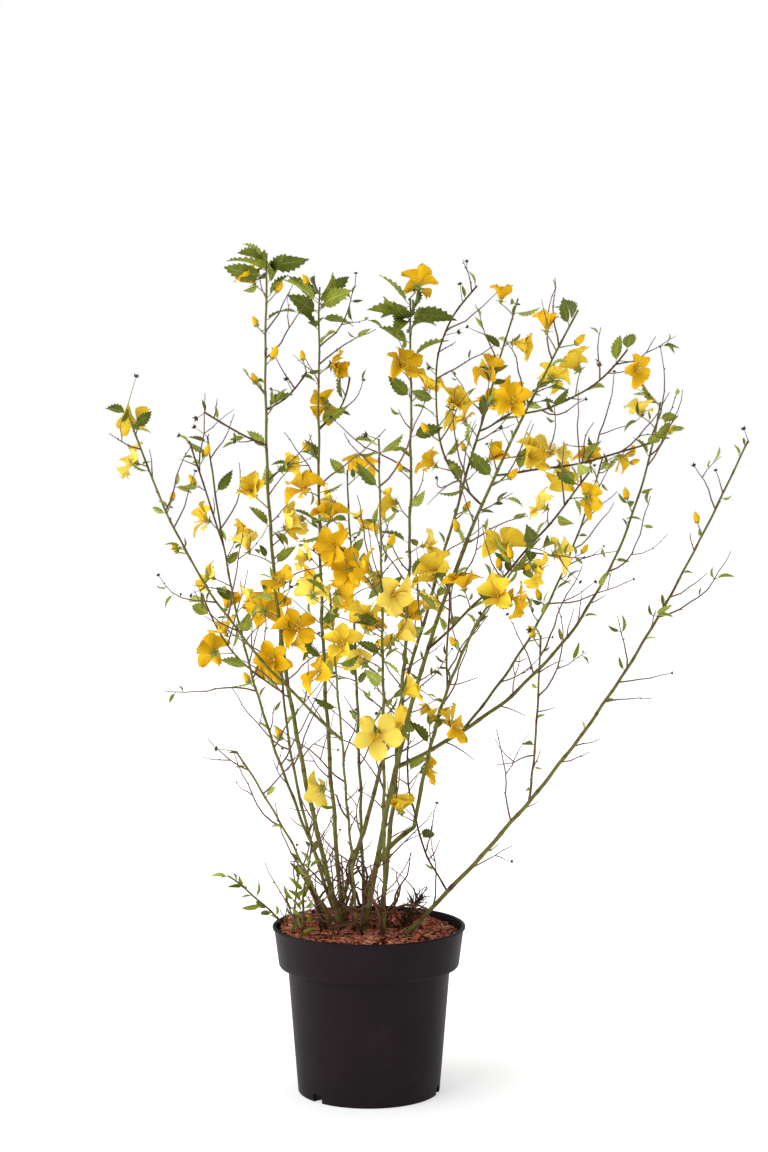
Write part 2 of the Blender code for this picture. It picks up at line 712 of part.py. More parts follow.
def keep_main_shell(thing):
    """Fills sealed hollows and drops loose scraps: only the largest connected surface stays."""
    work = bmesh.new()
    work.from_mesh(thing.data)
    bmesh.ops.triangulate(work, faces=work.faces)
    seen = set()
    shells = [shell_from(face, seen) for face in work.faces if face not in seen]
    shells.sort(key=len)
    extra = [face for shell in shells[:-1] for face in shell]
    bmesh.ops.delete(work, geom=extra, context="FACES")
    work.to_mesh(thing.data)
    work.free()


def main():
    clear_scene()
    make_pot()
    make_soil()
    lines = all_lines()
    garden = Garden()
    garden.add(pot_shape(), ["pot"])
    garden.add(soil_shape(), ["soil"])
    make_limbs(lines, garden)
    starts = plant_stems(lines, garden)
    plant_flowers(lines, garden)
    plant_leaves(lines, starts, garden)
    fuse_masses(garden)


main()
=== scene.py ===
"""The looks of a Japanese kerria in its nursery pot, grown around the plant's solids by the rule they were made with.

Metres, +Z up, the front is -Y. The rule places every cane, flower and leaf; this script gives each its real form and
carries the canes on to finer twigs and smaller leaves.
"""

import math
import random
from collections import namedtuple

import bmesh
import bpy
import numpy as np
from mathutils import Matrix, Vector, noise
from mathutils.bvhtree import BVHTree


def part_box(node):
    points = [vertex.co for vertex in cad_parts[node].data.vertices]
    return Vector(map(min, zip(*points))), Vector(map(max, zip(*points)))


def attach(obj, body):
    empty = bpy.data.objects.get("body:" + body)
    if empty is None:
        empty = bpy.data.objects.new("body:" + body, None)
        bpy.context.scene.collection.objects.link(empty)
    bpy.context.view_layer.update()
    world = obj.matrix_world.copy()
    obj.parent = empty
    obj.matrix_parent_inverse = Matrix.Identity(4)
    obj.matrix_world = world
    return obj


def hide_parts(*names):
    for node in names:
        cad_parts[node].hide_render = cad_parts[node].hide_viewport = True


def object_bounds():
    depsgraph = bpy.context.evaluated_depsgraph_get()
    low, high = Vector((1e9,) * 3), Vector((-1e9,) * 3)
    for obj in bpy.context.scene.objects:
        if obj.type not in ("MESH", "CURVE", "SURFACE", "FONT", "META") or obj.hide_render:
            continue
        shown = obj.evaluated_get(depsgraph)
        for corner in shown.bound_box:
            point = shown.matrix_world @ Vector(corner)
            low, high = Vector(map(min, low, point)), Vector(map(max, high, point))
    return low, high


bl_info = {
    "name": "Potted Japanese kerria",
    "version": (1, 0, 0),
    "blender": (4, 5, 0),
    "location": "3D View > Sidebar > Kerria",
    "description": "Builds a flowering Japanese kerria in its nursery pot",
    "category": "Add Mesh",
}

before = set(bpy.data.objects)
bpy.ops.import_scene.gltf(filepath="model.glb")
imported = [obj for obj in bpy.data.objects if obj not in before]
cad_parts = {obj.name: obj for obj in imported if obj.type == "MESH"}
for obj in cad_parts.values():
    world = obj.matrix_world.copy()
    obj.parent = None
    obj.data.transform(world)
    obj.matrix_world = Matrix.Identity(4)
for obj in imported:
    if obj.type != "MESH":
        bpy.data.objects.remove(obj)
SOLID_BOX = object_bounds()

# Sizes read from the solids
RIM_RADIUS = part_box("pot")[1].x
POT_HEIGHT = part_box("pot")[1].z
SOIL_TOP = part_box("soil")[1].z
SOIL_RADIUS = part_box("soil")[1].x

# The pot's other sizes, as in the plant's solids
NECK_RADIUS = 0.0933
BAND_FOOT_RADIUS = 0.0885
BAND_FOOT = 0.1241
BODY_TOP_RADIUS = 0.0800
BASE_RADIUS = 0.0699
LIP = 0.0030
WALL = 0.0018
FLOOR = 0.0030
EDGE_ROUND = 0.0030
CORNER_ROUND = 0.0012
NOTCH_ANGLES = (225, 345, 105)
NOTCH_SIZE = (0.0180, 0.0120, 0.0140)
NOTCH_TILT = -28

# The rule's sizes
GAP = 0.0003
LIMB_SIDES = 6
TWIG_SIDES = 3
STEM_STEP = 0.050
HANDLE = 0.4
TIP_GIRTH = 0.0009
COLLAR = 0.012
CLEAR_STEP = 0.0003
FOOT_FLARE = 1.35
FLARE_SHARE = 0.04
STUB_TAPER = 0.35
TWIG_SWELL = 1.1
SHOOT_GIRTH = 0.0009
SHOOT_ANGLE = 52
SHOOT_LENGTHS = (0.014, 0.026)
BUD_SHOOT_SHARE = 0.75
SHOOT_STRETCH = 0.002
FLOWER_TURN = 0.9
FLOWER_TURN_STEP = 0.5
FLOWER_TRIES = 12
FLOWER_FACE_SPREAD = 0.75
NODE_GAP = 0.036
LEAF_LENGTHS = (0.022, 0.034)
TIP_LEAF_LENGTHS = (0.030, 0.046)
LEAF_WIDTH = 0.46
LEAF_WIDEST = 0.42
LEAF_THICKNESS = 0.0010
LEAF_DROOP = 0.06
LEAF_ROOT = 0.0002
LEAF_TURN = 1.1
LEAF_TURN_STEP = 0.7
LEAF_TRIES = 6
LEAF_RISE = (-0.35, 0.25)
LEAF_FACE_SPREAD = 0.4
TIP_SHARE = 0.99
TIP_TUFT = 2
TALL_TIP_TUFT = 4
BLOOM_RADII = (0.0195, 0.0245)
FRONT_BLOOM_RADIUS = 0.0265
FRONT_BLOOM_FACE = (0.05, -0.98, 0.18)
BLOOM_CUP = 0.0060
BLOOM_THICKNESS = 0.0018
BLOOM_SEAT = 0.0042
PETALS = 5
PETAL_SHOULDER = 23
PETAL_NOTCH = 0.46
BUD_SIZE = (0.0046, 0.0120)
HEAD_SIZE = (0.0026, 0.0046)
CLEARANCE = 0.0008

Stem = namedtuple(
    "Stem",
    "name start tip bend girth bare blooms buds heads",
    defaults=(0, (), (), ()),
)

# start is the foot (x, y) on the soil, or the stem that bears this one and the share along it of the fork.
# tip is the far end (x, y, z). bend is how many degrees further out than its chord a stem leans at its foot,
# and how many less at its tip. girth is the foot's radius. bare is the share that is a limb.
# blooms, buds and heads are groups: a count, and the two shares along the stem between which it is dealt out.
STEMS = (
    Stem("low_left_cane", (-0.030, -0.030), (-0.120, -0.150, 0.355), -5, 0.0013, 0.50, heads=((1, 1, 1),)),
    Stem("left_back_cane", (-0.030, 0.045), (-0.095, 0.150, 0.495), 20, 0.0019, 0.42,
         blooms=((4, 0.70, 1),), buds=((1, 0.55, 0.55),)),
    Stem("left_back_side", ("left_back_cane", 0.70), (-0.175, 0.170, 0.475), 20, 0.0011,
         blooms=((2, 0.40, 0.85),), heads=((1, 1, 1),)),
    Stem("left_tall_cane", (-0.025, -0.010), (-0.095, -0.070, 0.815), 10, 0.0026, 0.36,
         blooms=((8, 0.38, 0.72), (1, 0.95, 0.95)), buds=((5, 0.80, 1),)),
    Stem("left_tall_side", ("left_tall_cane", 0.75), (-0.150, -0.120, 0.665), 5, 0.0010, heads=((1, 1, 1),)),
    Stem("left_tall_spur", ("left_tall_cane", 0.80), (-0.060, -0.030, 0.705), 15, 0.0009,
         buds=((1, 1, 1),), heads=((1, 0.60, 0.60),)),
    Stem("left_arching_cane", (-0.020, 0.030), (-0.165, 0.100, 0.645), 10, 0.0017, 0.36,
         blooms=((5, 0.58, 0.86),), buds=((2, 0.35, 0.95),), heads=((1, 1, 1),)),
    Stem("left_arching_side", ("left_arching_cane", 0.80), (-0.180, 0.060, 0.640), 0, 0.0010,
         buds=((2, 0.40, 0.90),), heads=((1, 1, 1),)),
    Stem("inner_left_cane", (-0.025, 0.005), (-0.050, 0.080, 0.795), 10, 0.0024, 0.38,
         blooms=((5, 0.42, 0.72), (1, 0.88, 0.88)), buds=((1, 0.75, 0.75), (2, 0.96, 1))),
    Stem("inner_left_spur", ("inner_left_cane", 0.80), (-0.020, 0.110, 0.705), 25, 0.0009,
         blooms=((1, 0.30, 0.30),), heads=((1, 1, 1),)),
    Stem("front_left_cane", (-0.010, -0.030), (-0.035, -0.140, 0.500), 0, 0.0015, 0.62,
         blooms=((3, 0.70, 1),)),
    Stem("front_low_sprig", ("front_left_cane", 0.35), (-0.030, -0.085, 0.305), 10, 0.0010,
         blooms=((1, 1, 1),)),
    Stem("far_left_bough", ("front_left_cane", 0.60), (-0.230, -0.050, 0.670), 15, 0.0014, 0.34,
         blooms=((2, 0.82, 0.98),), buds=((2, 0.55, 0.80),), heads=((1, 1, 1),)),
    Stem("back_cane", (-0.005, 0.050), (-0.025, 0.220, 0.610), -5, 0.0019, 0.38,
         blooms=((8, 0.50, 1),), buds=((1, 0.85, 0.85),)),
    Stem("back_right_cane", (-0.035, 0.020), (0.155, 0.175, 0.790), 0, 0.0024, 0.36,
         blooms=((1, 0.45, 0.45), (6, 0.72, 1)), buds=((3, 0.52, 0.80),), heads=((1, 0.90, 0.90),)),
    Stem("back_right_side", ("back_right_cane", 0.80), (0.175, 0.200, 0.695), 10, 0.0010,
         blooms=((1, 0.75, 0.75),), heads=((2, 0.10, 1),)),
    Stem("front_cane", (0.015, -0.040), (0.010, -0.220, 0.640), -20, 0.0018, 0.30,
         blooms=((1, 0.36, 0.36), (6, 0.42, 0.74)), buds=((2, 0.50, 0.85),), heads=((2, 1, 1),)),
    Stem("middle_tall_cane", (0.010, 0.005), (0.040, 0.030, 0.780), 5, 0.0025, 0.36,
         blooms=((5, 0.40, 0.70), (2, 0.84, 0.90), (2, 1, 1)), buds=((2, 0.65, 0.98),),
         heads=((1, 0.97, 0.97),)),
    Stem("middle_tall_side", ("middle_tall_cane", 0.55), (-0.050, -0.050, 0.565), 15, 0.0011,
         blooms=((3, 0.40, 1),), buds=((1, 0.25, 0.25),)),
    Stem("main_right_cane", (-0.005, -0.015), (0.195, -0.100, 0.760), -10, 0.0029, 0.36,
         blooms=((1, 0.55, 0.55), (4, 0.75, 0.97)), buds=((4, 0.58, 1),), heads=((1, 0.80, 0.80),)),
    Stem("main_right_spur", ("main_right_cane", 0.45), (0.200, -0.170, 0.610), 5, 0.0013,
         blooms=((6, 0.18, 0.95),), buds=((2, 0.42, 0.55),)),
    Stem("main_right_side", ("main_right_cane", 0.75), (0.285, 0.020, 0.640), 5, 0.0011,
         blooms=((2, 0.12, 0.48),), buds=((2, 0.15, 0.95),)),
    Stem("main_right_twig", ("main_right_cane", 0.70), (0.065, -0.020, 0.680), 30, 0.0011,
         blooms=((2, 0.20, 1),), buds=((1, 0.68, 0.68),)),
    Stem("main_right_wand", ("main_right_twig", 1.0), (0.105, 0.000, 0.790), -25, 0.0009, heads=((3, 0, 1),)),
    Stem("main_right_top", ("main_right_cane", 0.85), (0.245, -0.060, 0.725), 20, 0.0010,
         blooms=((2, 0.25, 0.95),), heads=((2, 0.60, 1),)),
    Stem("elbow_cane_foot", (0.000, 0.030), (0.045, 0.035, 0.255), -35, 0.0034, 1.0),
    Stem("elbow_cane", ("elbow_cane_foot", 1.0), (0.155, -0.170, 0.550), -20, 0.0021, 0.16,
         blooms=((2, 0.18, 0.34), (2, 0.70, 1)), buds=((3, 0.45, 0.98),)),
    Stem("elbow_cane_side", ("elbow_cane", 0.40), (0.080, 0.030, 0.505), -15, 0.0011,
         blooms=((1, 0.85, 0.85),), buds=((1, 1, 1),)),
    Stem("right_bough", ("main_right_cane", 0.25), (0.300, 0.130, 0.680), 30, 0.0021, 0.40,
         blooms=((1, 0.95, 0.95),), buds=((2, 0.70, 1),)),
    Stem("right_inner_bough", ("right_bough", 0.15), (0.250, 0.220, 0.625), 15, 0.0015, 0.40,
         blooms=((2, 0.92, 1),), buds=((3, 0.40, 0.95),)),
    Stem("low_right_cane", (0.030, -0.025), (0.360, -0.060, 0.640), 10, 0.0023, 0.42,
         buds=((1, 0.85, 0.85),), heads=((1, 1, 1),)),
    Stem("front_right_side", ("low_right_cane", 0.30), (0.155, -0.190, 0.465), 15, 0.0012,
         buds=((1, 0.95, 0.95),), heads=((1, 1, 1),)),
    Stem("low_middle_sprig", ("low_right_cane", 0.10), (0.040, 0.020, 0.365), 30, 0.0010,
         blooms=((3, 0.30, 1),)),
    Stem("rim_sprig", (-0.080, 0.010), (-0.140, 0.010, 0.210), -10, 0.0010),
    Stem("left_sucker", (-0.075, -0.025), (-0.065, -0.025, 0.230), -5, 0.0011),
    Stem("inner_sucker", (-0.065, -0.045), (-0.055, -0.040, 0.250), -5, 0.0013),
    Stem("dead_stub_left", (-0.040, -0.005), (-0.070, -0.010, 0.225), -5, 0.0026, 1.0),
    Stem("dead_stub_middle", (0.015, -0.015), (0.015, -0.020, 0.200), 0, 0.0028, 1.0),
    Stem("dead_stub_right", (0.030, 0.000), (0.050, 0.005, 0.190), -5, 0.0018, 1.0),
)
BY_NAME = {stem.name: stem for stem in STEMS}
TALL = ("left_tall_cane", "inner_left_cane", "middle_tall_cane")
FRONT_BLOOM = "front_cane blooms 0"

MASSES = sorted(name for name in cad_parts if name.endswith("_foliage"))
STUBS = sorted(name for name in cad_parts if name.startswith("dead_stub"))
LIMBS = sorted(set(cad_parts) - set(MASSES) - set(STUBS) - {"pot", "soil"})

# Sizes of what the rule carries on to
RING_STEP = 0.0030
CANE_SIDES = 10
ARC_STRETCH = 1.04
INTERNODE = 0.034
NODE_DRIFT = 0.22
NODE_DRIFT_RATE = 42
NODE_SWELL = 0.17
NODE_LENGTH = 0.0026
WOBBLE = 0.0012
BARK_RELIEF = 0.05
CANE_AGE = 0.03
TWIG_AGE = 0.225
WISP_STEP = 0.022
WISP_LENGTHS = (0.018, 0.105)
WISP_GIRTH = 0.00078
WISP_HEADS = 0.16
WISP_JOINT = 0.011
WISP_BUDS = 0.6
FORK_CHANCE = 0.4
SMALL_LEAF_LENGTHS = (0.009, 0.021)
SPRIG_LEAF_GAP = 0.007
SPRIG_LEAF_LENGTHS = (0.012, 0.025)
YOUNG_SHARES = (0.45, 0.75)
SPARSE_SHARE = 0.75
LUSH_REACH = 0.045
TUFT_LENGTHS = (0.030, 0.046)
TUFT_LEAVES = 11
LEAF_VEINS = 9
BED_RINGS = 22
# How far round the canes' feet the lighter chips thin out: painted shade under the canes, over partly bare dark soil
FOOT_SHADE = 0.038
PILE_HEADING = 150
CHIPS = 3000
SHREDS = 5500
FIBRES = 2400
FOOT_TWIGS = 46
FOOT_TWIG_ROOTS = (0.0, 0.040)
FOOT_TWIG_LENGTHS = (0.025, 0.080)
FOOT_TWIG_GIRTHS = (0.0007, 0.0020)
BROOM_TWIGS = 90
BROOM_LENGTHS = (0.008, 0.024)
BARK_SHREDS = 90
SHRED_ROOTS = (0.0, 0.016)
SHRED_LENGTHS = (0.006, 0.020)
SHRED_GIRTHS = (0.0005, 0.0009, 0.0008, 0.0006, 0.0005, 0.0002)

Item = namedtuple("Item", "low high tree keys")
Flower = namedtuple("Flower", "stem kind key share point end way face radius spin centre")
Leaf = namedtuple("Leaf", "stem share point way face length")
Model = namedtuple("Model", "points faces uvs")


# The rule: basic shapes, each as (points, faces)

def tube(line, radii, sides, first=None, last=None):
    """A closed tapering tube along a line. Its two ends are cut square to the directions given for them."""
    points = []
    side = Vector((0, 1, 0))
    for i, centre in enumerate(line):
        before = line[max(i - 1, 0)]
        after = line[min(i + 1, len(line) - 1)]
        along = (after - before).normalized()
        if first and i == 0:
            along = first
        if last and i == len(line) - 1:
            along = last
        side = (side - along * side.dot(along)).normalized()
        across = along.cross(side)
        for k in range(sides):
            angle = math.tau * k / sides
            points.append(centre + (side * math.cos(angle) + across * math.sin(angle)) * radii[i])
    faces = [tuple(reversed(range(sides))), tuple(range(len(points) - sides, len(points)))]
    for i in range(len(line) - 1):
        for k in range(sides):
            low = i * sides + k
            near = i * sides + (k + 1) % sides
            faces.append((low, near, near + sides, low + sides))
    return points, faces


def fan(below, above, rim):
    """A thin closed lens: faces from a point below and from a point above to a rim that runs round them."""
    faces = []
    for k in range(len(rim)):
        here = 2 + k
        after = 2 + (k + 1) % len(rim)
        faces.append((0, after, here))
        faces.append((1, here, after))
    return [below, above] + rim, faces


def leaf_room(base, along, face, length, grow=0.0):
    """The space of a leaf."""
    across = along.cross(face).normalized()
    up = across.cross(along)
    middle = base + along * length * LEAF_WIDEST
    half = across * (length * LEAF_WIDTH / 2 + grow)
    thick = up * (LEAF_THICKNESS / 2 + grow)
    tip = base + along * (length + grow) - up * length * LEAF_DROOP
    return fan(middle - thick, middle + thick, [base - along * LEAF_ROOT, middle + half, tip, middle - half])


def bloom_centre(end, face, radius, spin):
    side = face.orthogonal().normalized()
    across = face.cross(side)
    out = side * math.cos(math.radians(spin)) + across * math.sin(math.radians(spin))
    return end - out * BLOOM_SEAT - face * BLOOM_CUP * BLOOM_SEAT / radius


def bloom_room(end, face, radius, spin, grow=0.0):
    """The space of a bloom."""
    side = face.orthogonal().normalized()
    across = face.cross(side)
    centre = bloom_centre(end, face, radius, spin)
    rim = []
    for petal in range(PETALS):
        middle = spin + 360 / PETALS * petal
        for turn, share in ((-PETAL_SHOULDER, 1), (PETAL_SHOULDER, 1), (180 / PETALS, PETAL_NOTCH)):
            angle = math.radians(middle + turn)
            out = side * math.cos(angle) + across * math.sin(angle)
            rim.append(centre + out * (radius + grow) * share + face * BLOOM_CUP * share)
    below = centre - face * (BLOOM_THICKNESS * 0.6 + grow)
    above = centre + face * (BLOOM_THICKNESS * 0.4 + grow)
    return fan(below, above, rim)


def pod_room(root, end, width, length, grow=0.0):
    """The space of a side shoot with a bud or a dry seed head at its end."""
    way = (end - root).normalized()
    line = [root, end, end + way * length * 0.45, end + way * (length + grow)]
    radii = [SHOOT_GIRTH + grow, SHOOT_GIRTH * 0.7 + grow, width + grow, SHOOT_GIRTH * 0.3]
    return tube(line, radii, TWIG_SIDES)


# The rule: stems

def in_soil(stem):
    return not isinstance(stem.start[0], str)


def bears_foliage(stem):
    return stem.bare < 1


def lean_vector(heading, lean):
    """The direction that leans so many degrees from upright towards a heading."""
    out = Vector((math.cos(math.radians(heading)), math.sin(math.radians(heading)), 0))
    return out * math.sin(math.radians(lean)) + Vector((0, 0, math.cos(math.radians(lean))))


def stem_curve(stem, root):
    """The four control points of a stem's axis, in the upright plane of its two ends."""
    end = Vector(stem.tip)
    chord = end - root
    heading = math.degrees(math.atan2(chord.y, chord.x))
    slant = math.degrees(chord.angle(Vector((0, 0, 1))))
    first = root + lean_vector(heading, slant + stem.bend) * chord.length * HANDLE
    last = end - lean_vector(heading, slant - stem.bend) * chord.length * HANDLE
    return root, first, last, end


def on_curve(curve, t):
    s = 1 - t
    return s**3 * curve[0] + 3 * s * s * t * curve[1] + 3 * s * t * t * curve[2] + t**3 * curve[3]


def chord_of(curve):
    return (curve[3] - curve[0]).length


def all_curves():
    """The control points and the coarse axis of every stem, grown from the soil or from its bearer."""
    curves = {}
    lines = {}
    for stem in STEMS:
        if in_soil(stem):
            root = Vector((*stem.start, SOIL_TOP))
        else:
            parent, share = stem.start
            root = at(lines[parent], share)[0]
        curves[stem.name] = stem_curve(stem, root)
        steps = max(3, round(chord_of(curves[stem.name]) / STEM_STEP))
        lines[stem.name] = [on_curve(curves[stem.name], i / steps) for i in range(steps + 1)]
    return curves, lines


def at(line, share):
    """The point and the direction at a share of a line."""
    place = min(max(share, 0), 1) * (len(line) - 1)
    i = min(int(place), len(line) - 2)
    return line[i].lerp(line[i + 1], place - i), (line[i + 1] - line[i]).normalized()


def girth_at(stem, share):
    """The radius at a share of the stem, with a slight flare at a limb's foot in the soil."""
    if not bears_foliage(stem):
        return stem.girth * (1 - STUB_TAPER * share)
    radius = stem.girth + (TIP_GIRTH - stem.girth) * share
    if in_soil(stem) and stem.bare and share < FLARE_SHARE:
        radius *= 1 + (FOOT_FLARE - 1) * (1 - share / FLARE_SHARE)
    return radius


def clear_share(stem, line, garden):
    """The share at which a side stem comes just clear of the limb that bears it."""
    chord = (line[-1] - line[0]).length
    share = 0.0
    while True:
        start, along = at(line, share)
        end = at(line, share + COLLAR / chord)[0]
        radius = girth_at(stem, share) * TWIG_SWELL + GAP
        if not garden.touches(tube([start - along * GAP, end], [radius] * 2, TWIG_SIDES, along), stem.start[0]):
            return share
        share += CLEAR_STEP / chord


def first_share(stem, line, garden):
    """The share at which a mass's stem starts: on its own limb's tip, on the soil, in a mass or on a limb."""
    if stem.bare:
        return stem.bare + GAP / (line[-1] - line[0]).length
    if in_soil(stem) or BY_NAME[stem.start[0]].bare <= stem.start[1]:
        return 0.0
    return clear_share(stem, line, garden)


def stretch(line, low, high):
    """The part of a line between two shares, as (points, shares, direction of the first cut, of the last)."""
    last = len(line) - 1
    shares = [low] + [i / last for i in range(last + 1) if low * last + 0.1 < i < high * last - 0.1] + [high]
    return [at(line, share)[0] for share in shares], shares, at(line, low)[1], at(line, high)[1]


# The rule: planting, where nothing new touches what it doesn't grow from

def box_of(points):
    xs, ys, zs = zip(*points)
    return (min(xs), min(ys), min(zs)), (max(xs), max(ys), max(zs))


class Garden:
    """What has been planted so far."""

    def __init__(self):
        self.items = []

    def clear(self, shape, keys):
        """Whether a shape stays clear of everything that carries none of these keys."""
        low, high = box_of(shape[0])
        tree = BVHTree.FromPolygons(*shape)
        for item in self.items:
            apart = any(item.low[axis] > high[axis] or item.high[axis] < low[axis] for axis in range(3))
            if not apart and not item.keys & keys and item.tree.overlap(tree):
                return False
        return True

    def touches(self, shape, key):
        """Whether a shape crosses the surface of what carries a key."""
        tree = BVHTree.FromPolygons(*shape)
        return any(item.tree.overlap(tree) for item in self.items if key in item.keys)

    def add(self, shape, keys):
        self.items.append(Item(*box_of(shape[0]), BVHTree.FromPolygons(*shape), frozenset(keys)))


def shape_of(node):
    """A solid's surface, as (points, faces)."""
    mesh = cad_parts[node].data
    return [vert.co.copy() for vert in mesh.vertices], [tuple(face.vertices) for face in mesh.polygons]


def plant_stems(lines, garden):
    """The stems that run on through the masses, and the share at which each starts, by name."""
    starts = {}
    for stem in filter(bears_foliage, STEMS):
        starts[stem.name] = first_share(stem, lines[stem.name], garden)
        route, shares, first, last = stretch(lines[stem.name], starts[stem.name], 1)
        if in_soil(stem) and not stem.bare:
            first = Vector((0, 0, 1))
            route[0] = route[0] + first * GAP
        radii = [girth_at(stem, share) * TWIG_SWELL for share in shares]
        garden.add(tube(route, radii, TWIG_SIDES, first, last), [stem.name])
    return starts


def shoot_direction(along, side, turn):
    """The way a side shoot points: out to its side of the stem, turned round it, and forward along it."""
    right = Vector((0, 1, 0)).cross(along).normalized()
    back = along.cross(right)
    out = right * side * math.cos(turn) + back * math.sin(turn)
    angle = math.radians(SHOOT_ANGLE)
    return (out * math.sin(angle) + along * math.cos(angle)).normalized()


def random_way(rng):
    """A direction drawn evenly from all round."""
    height = rng.uniform(-1, 1)
    angle = rng.uniform(0, math.tau)
    flat = math.sqrt(1 - height * height)
    return Vector((flat * math.cos(angle), flat * math.sin(angle), height))


def turns(turn, step, count):
    """A turn, then turns further and further to either side of it."""
    return [turn + (k + 1) // 2 * (-1) ** k * step for k in range(count)]


def flower_places(stem, kind):
    """The share along the stem and the side of each flower of a kind, which stand left and right by turns."""
    places = []
    for count, low, high in getattr(stem, kind):
        for number in range(count):
            share = low + (high - low) * (number + 0.5) / count
            places.append((share, 1 if len(places) % 2 else -1))
    return places


def plant_flowers(lines, garden):
    """Blooms, buds and dry heads at the ends of short side shoots."""
    flowers = []
    for stem in STEMS:
        for kind in ("blooms", "buds", "heads"):
            for number, (share, side) in enumerate(flower_places(stem, kind)):
                flower = plant_flower(stem, kind, f"{stem.name} {kind} {number}", lines, share, side, garden)
                if flower:
                    flowers.append(flower)
    return flowers


def plant_flower(stem, kind, key, lines, share, side, garden):
    """One flower, turned round its stem until it touches nothing, or None."""
    point, along = at(lines[stem.name], share)
    rng = random.Random(key)
    turn = rng.uniform(-FLOWER_TURN, FLOWER_TURN)
    length = rng.uniform(*SHOOT_LENGTHS) * (1 if kind == "blooms" else BUD_SHOOT_SHARE)
    lean = random_way(rng) * FLOWER_FACE_SPREAD
    radius = rng.uniform(*BLOOM_RADII)
    spin = rng.uniform(0, 360 / PETALS)
    for k, here in enumerate(turns(turn, FLOWER_TURN_STEP, FLOWER_TRIES)):
        way = shoot_direction(along, side, here)
        end = point + way * (length + SHOOT_STRETCH * k)
        face = (way + lean).normalized()
        if key == FRONT_BLOOM:
            face = Vector(FRONT_BLOOM_FACE).normalized()
            radius = FRONT_BLOOM_RADIUS

        def room(grow):
            if kind == "blooms":
                return bloom_room(end, face, radius, spin, grow)
            return pod_room(point, end, *(BUD_SIZE if kind == "buds" else HEAD_SIZE), grow)

        way_there = tube([point, end], [SHOOT_GIRTH + CLEARANCE] * 2, TWIG_SIDES)
        own = {key} if kind == "blooms" else {key, stem.name}
        if garden.clear(room(CLEARANCE), own) and garden.clear(way_there, {key, stem.name}):
            if kind == "blooms":
                garden.add(tube([point, end], [SHOOT_GIRTH * TWIG_SWELL, SHOOT_GIRTH * 0.8], TWIG_SIDES), [key])
            garden.add(room(0), [key])
            centre = bloom_centre(end, face, radius, spin) if kind == "blooms" else end
            return Flower(stem, kind, key, share, point, end, way, face, radius, spin, centre)
    return None


def plant_leaves(lines, starts, garden):
    """Leaves at the nodes of every stem, one and two by turns and on either side, and a tuft at each tip."""
    leaves = []
    for stem in filter(bears_foliage, STEMS):
        line = lines[stem.name]
        low = starts[stem.name]
        length = sum((after - before).length for before, after in zip(line, line[1:])) * (1 - low)
        nodes = max(1, int(length / NODE_GAP))
        for node in range(nodes):
            share = low + (1 - low) * (node + 0.6) / nodes
            for pair in range(1 + node % 2):
                side = 1 if (node + pair) % 2 else -1
                leaves.append(plant_leaf(stem, line, share, f"{stem.name} leaf {node} {pair}", side, garden))
        for number in range(TALL_TIP_TUFT if stem.name in TALL else TIP_TUFT):
            side = 1 if number % 2 else -1
            leaves.append(plant_leaf(stem, line, TIP_SHARE, f"{stem.name} tip leaf {number}", side, garden))
    return [leaf for leaf in leaves if leaf]


def plant_leaf(stem, line, share, key, side, garden):
    """One leaf, turned round its stem until it touches nothing, or None."""
    rng = random.Random(key)
    point, along = at(line, share)
    turn = rng.uniform(-LEAF_TURN, LEAF_TURN)
    length = rng.uniform(*(TIP_LEAF_LENGTHS if stem.name in TALL and share > 0.85 else LEAF_LENGTHS))
    rise = Vector((0, 0, rng.uniform(*LEAF_RISE)))
    face = (Vector((0, 0, 1)) + random_way(rng) * LEAF_FACE_SPREAD).normalized()
    for here in turns(turn, LEAF_TURN_STEP, LEAF_TRIES):
        way = (shoot_direction(along, side, here) + rise).normalized()
        if abs(way.dot(face)) > 0.9:
            continue
        if garden.clear(leaf_room(point, way, face, length, CLEARANCE), {stem.name}):
            garden.add(leaf_room(point, way, face, length), [key])
            return Leaf(stem, share, point, way, face, length)
    return None


class Plant:
    """The whole plant as the rule grows it."""

    def __init__(self):
        self.curves, self.lines = all_curves()
        garden = Garden()
        for node in ["pot", "soil"] + LIMBS + STUBS:
            garden.add(shape_of(node), [node])
        self.starts = plant_stems(self.lines, garden)
        self.flowers = plant_flowers(self.lines, garden)
        self.leaves = plant_leaves(self.lines, self.starts, garden)
        self.waves = {stem.name: self.wave_of(stem) for stem in STEMS}
        self.wisps = wisps_of(self)

    def wave_of(self, stem):
        """Two slow waves and their directions, which keep a stem from being a perfect curve."""
        rng = random.Random(stem.name + " wave")
        length = chord_of(self.curves[stem.name])
        return [
            (random_way(rng), rng.uniform(0, math.tau), math.tau * length / rng.uniform(0.07, 0.12)),
            (random_way(rng), rng.uniform(0, math.tau), math.tau * length / rng.uniform(0.035, 0.055)),
        ]

    def sway(self, name, t):
        """How far a stem's axis strays from its curve at a share of it."""
        stem = BY_NAME[name]
        size = WOBBLE * min(1, t * 6) * (1 - 0.5 * t)
        moved = Vector()
        for k, (way, phase, waves) in enumerate(self.waves[name]):
            moved += way * (size * (1, 0.45)[k] * math.sin(phase + waves * t))
        if not in_soil(stem):
            moved += self.sway(*stem.start) * max(0, 1 - 4 * t)
        return moved

    def axis(self, name, t):
        """A point of a stem's real axis."""
        return on_curve(self.curves[name], t) + self.sway(name, t)

    def direction(self, name, t):
        low = max(0, t - 0.01)
        return (self.axis(name, low + 0.02) - self.axis(name, low)).normalized()

    def length(self, name):
        """A stem's length along its bends."""
        return chord_of(self.curves[name]) * ARC_STRETCH


GROWN = []


def plant():
    """The plant, grown once."""
    if not GROWN:
        GROWN.append(Plant())
    return GROWN[0]


# Materials

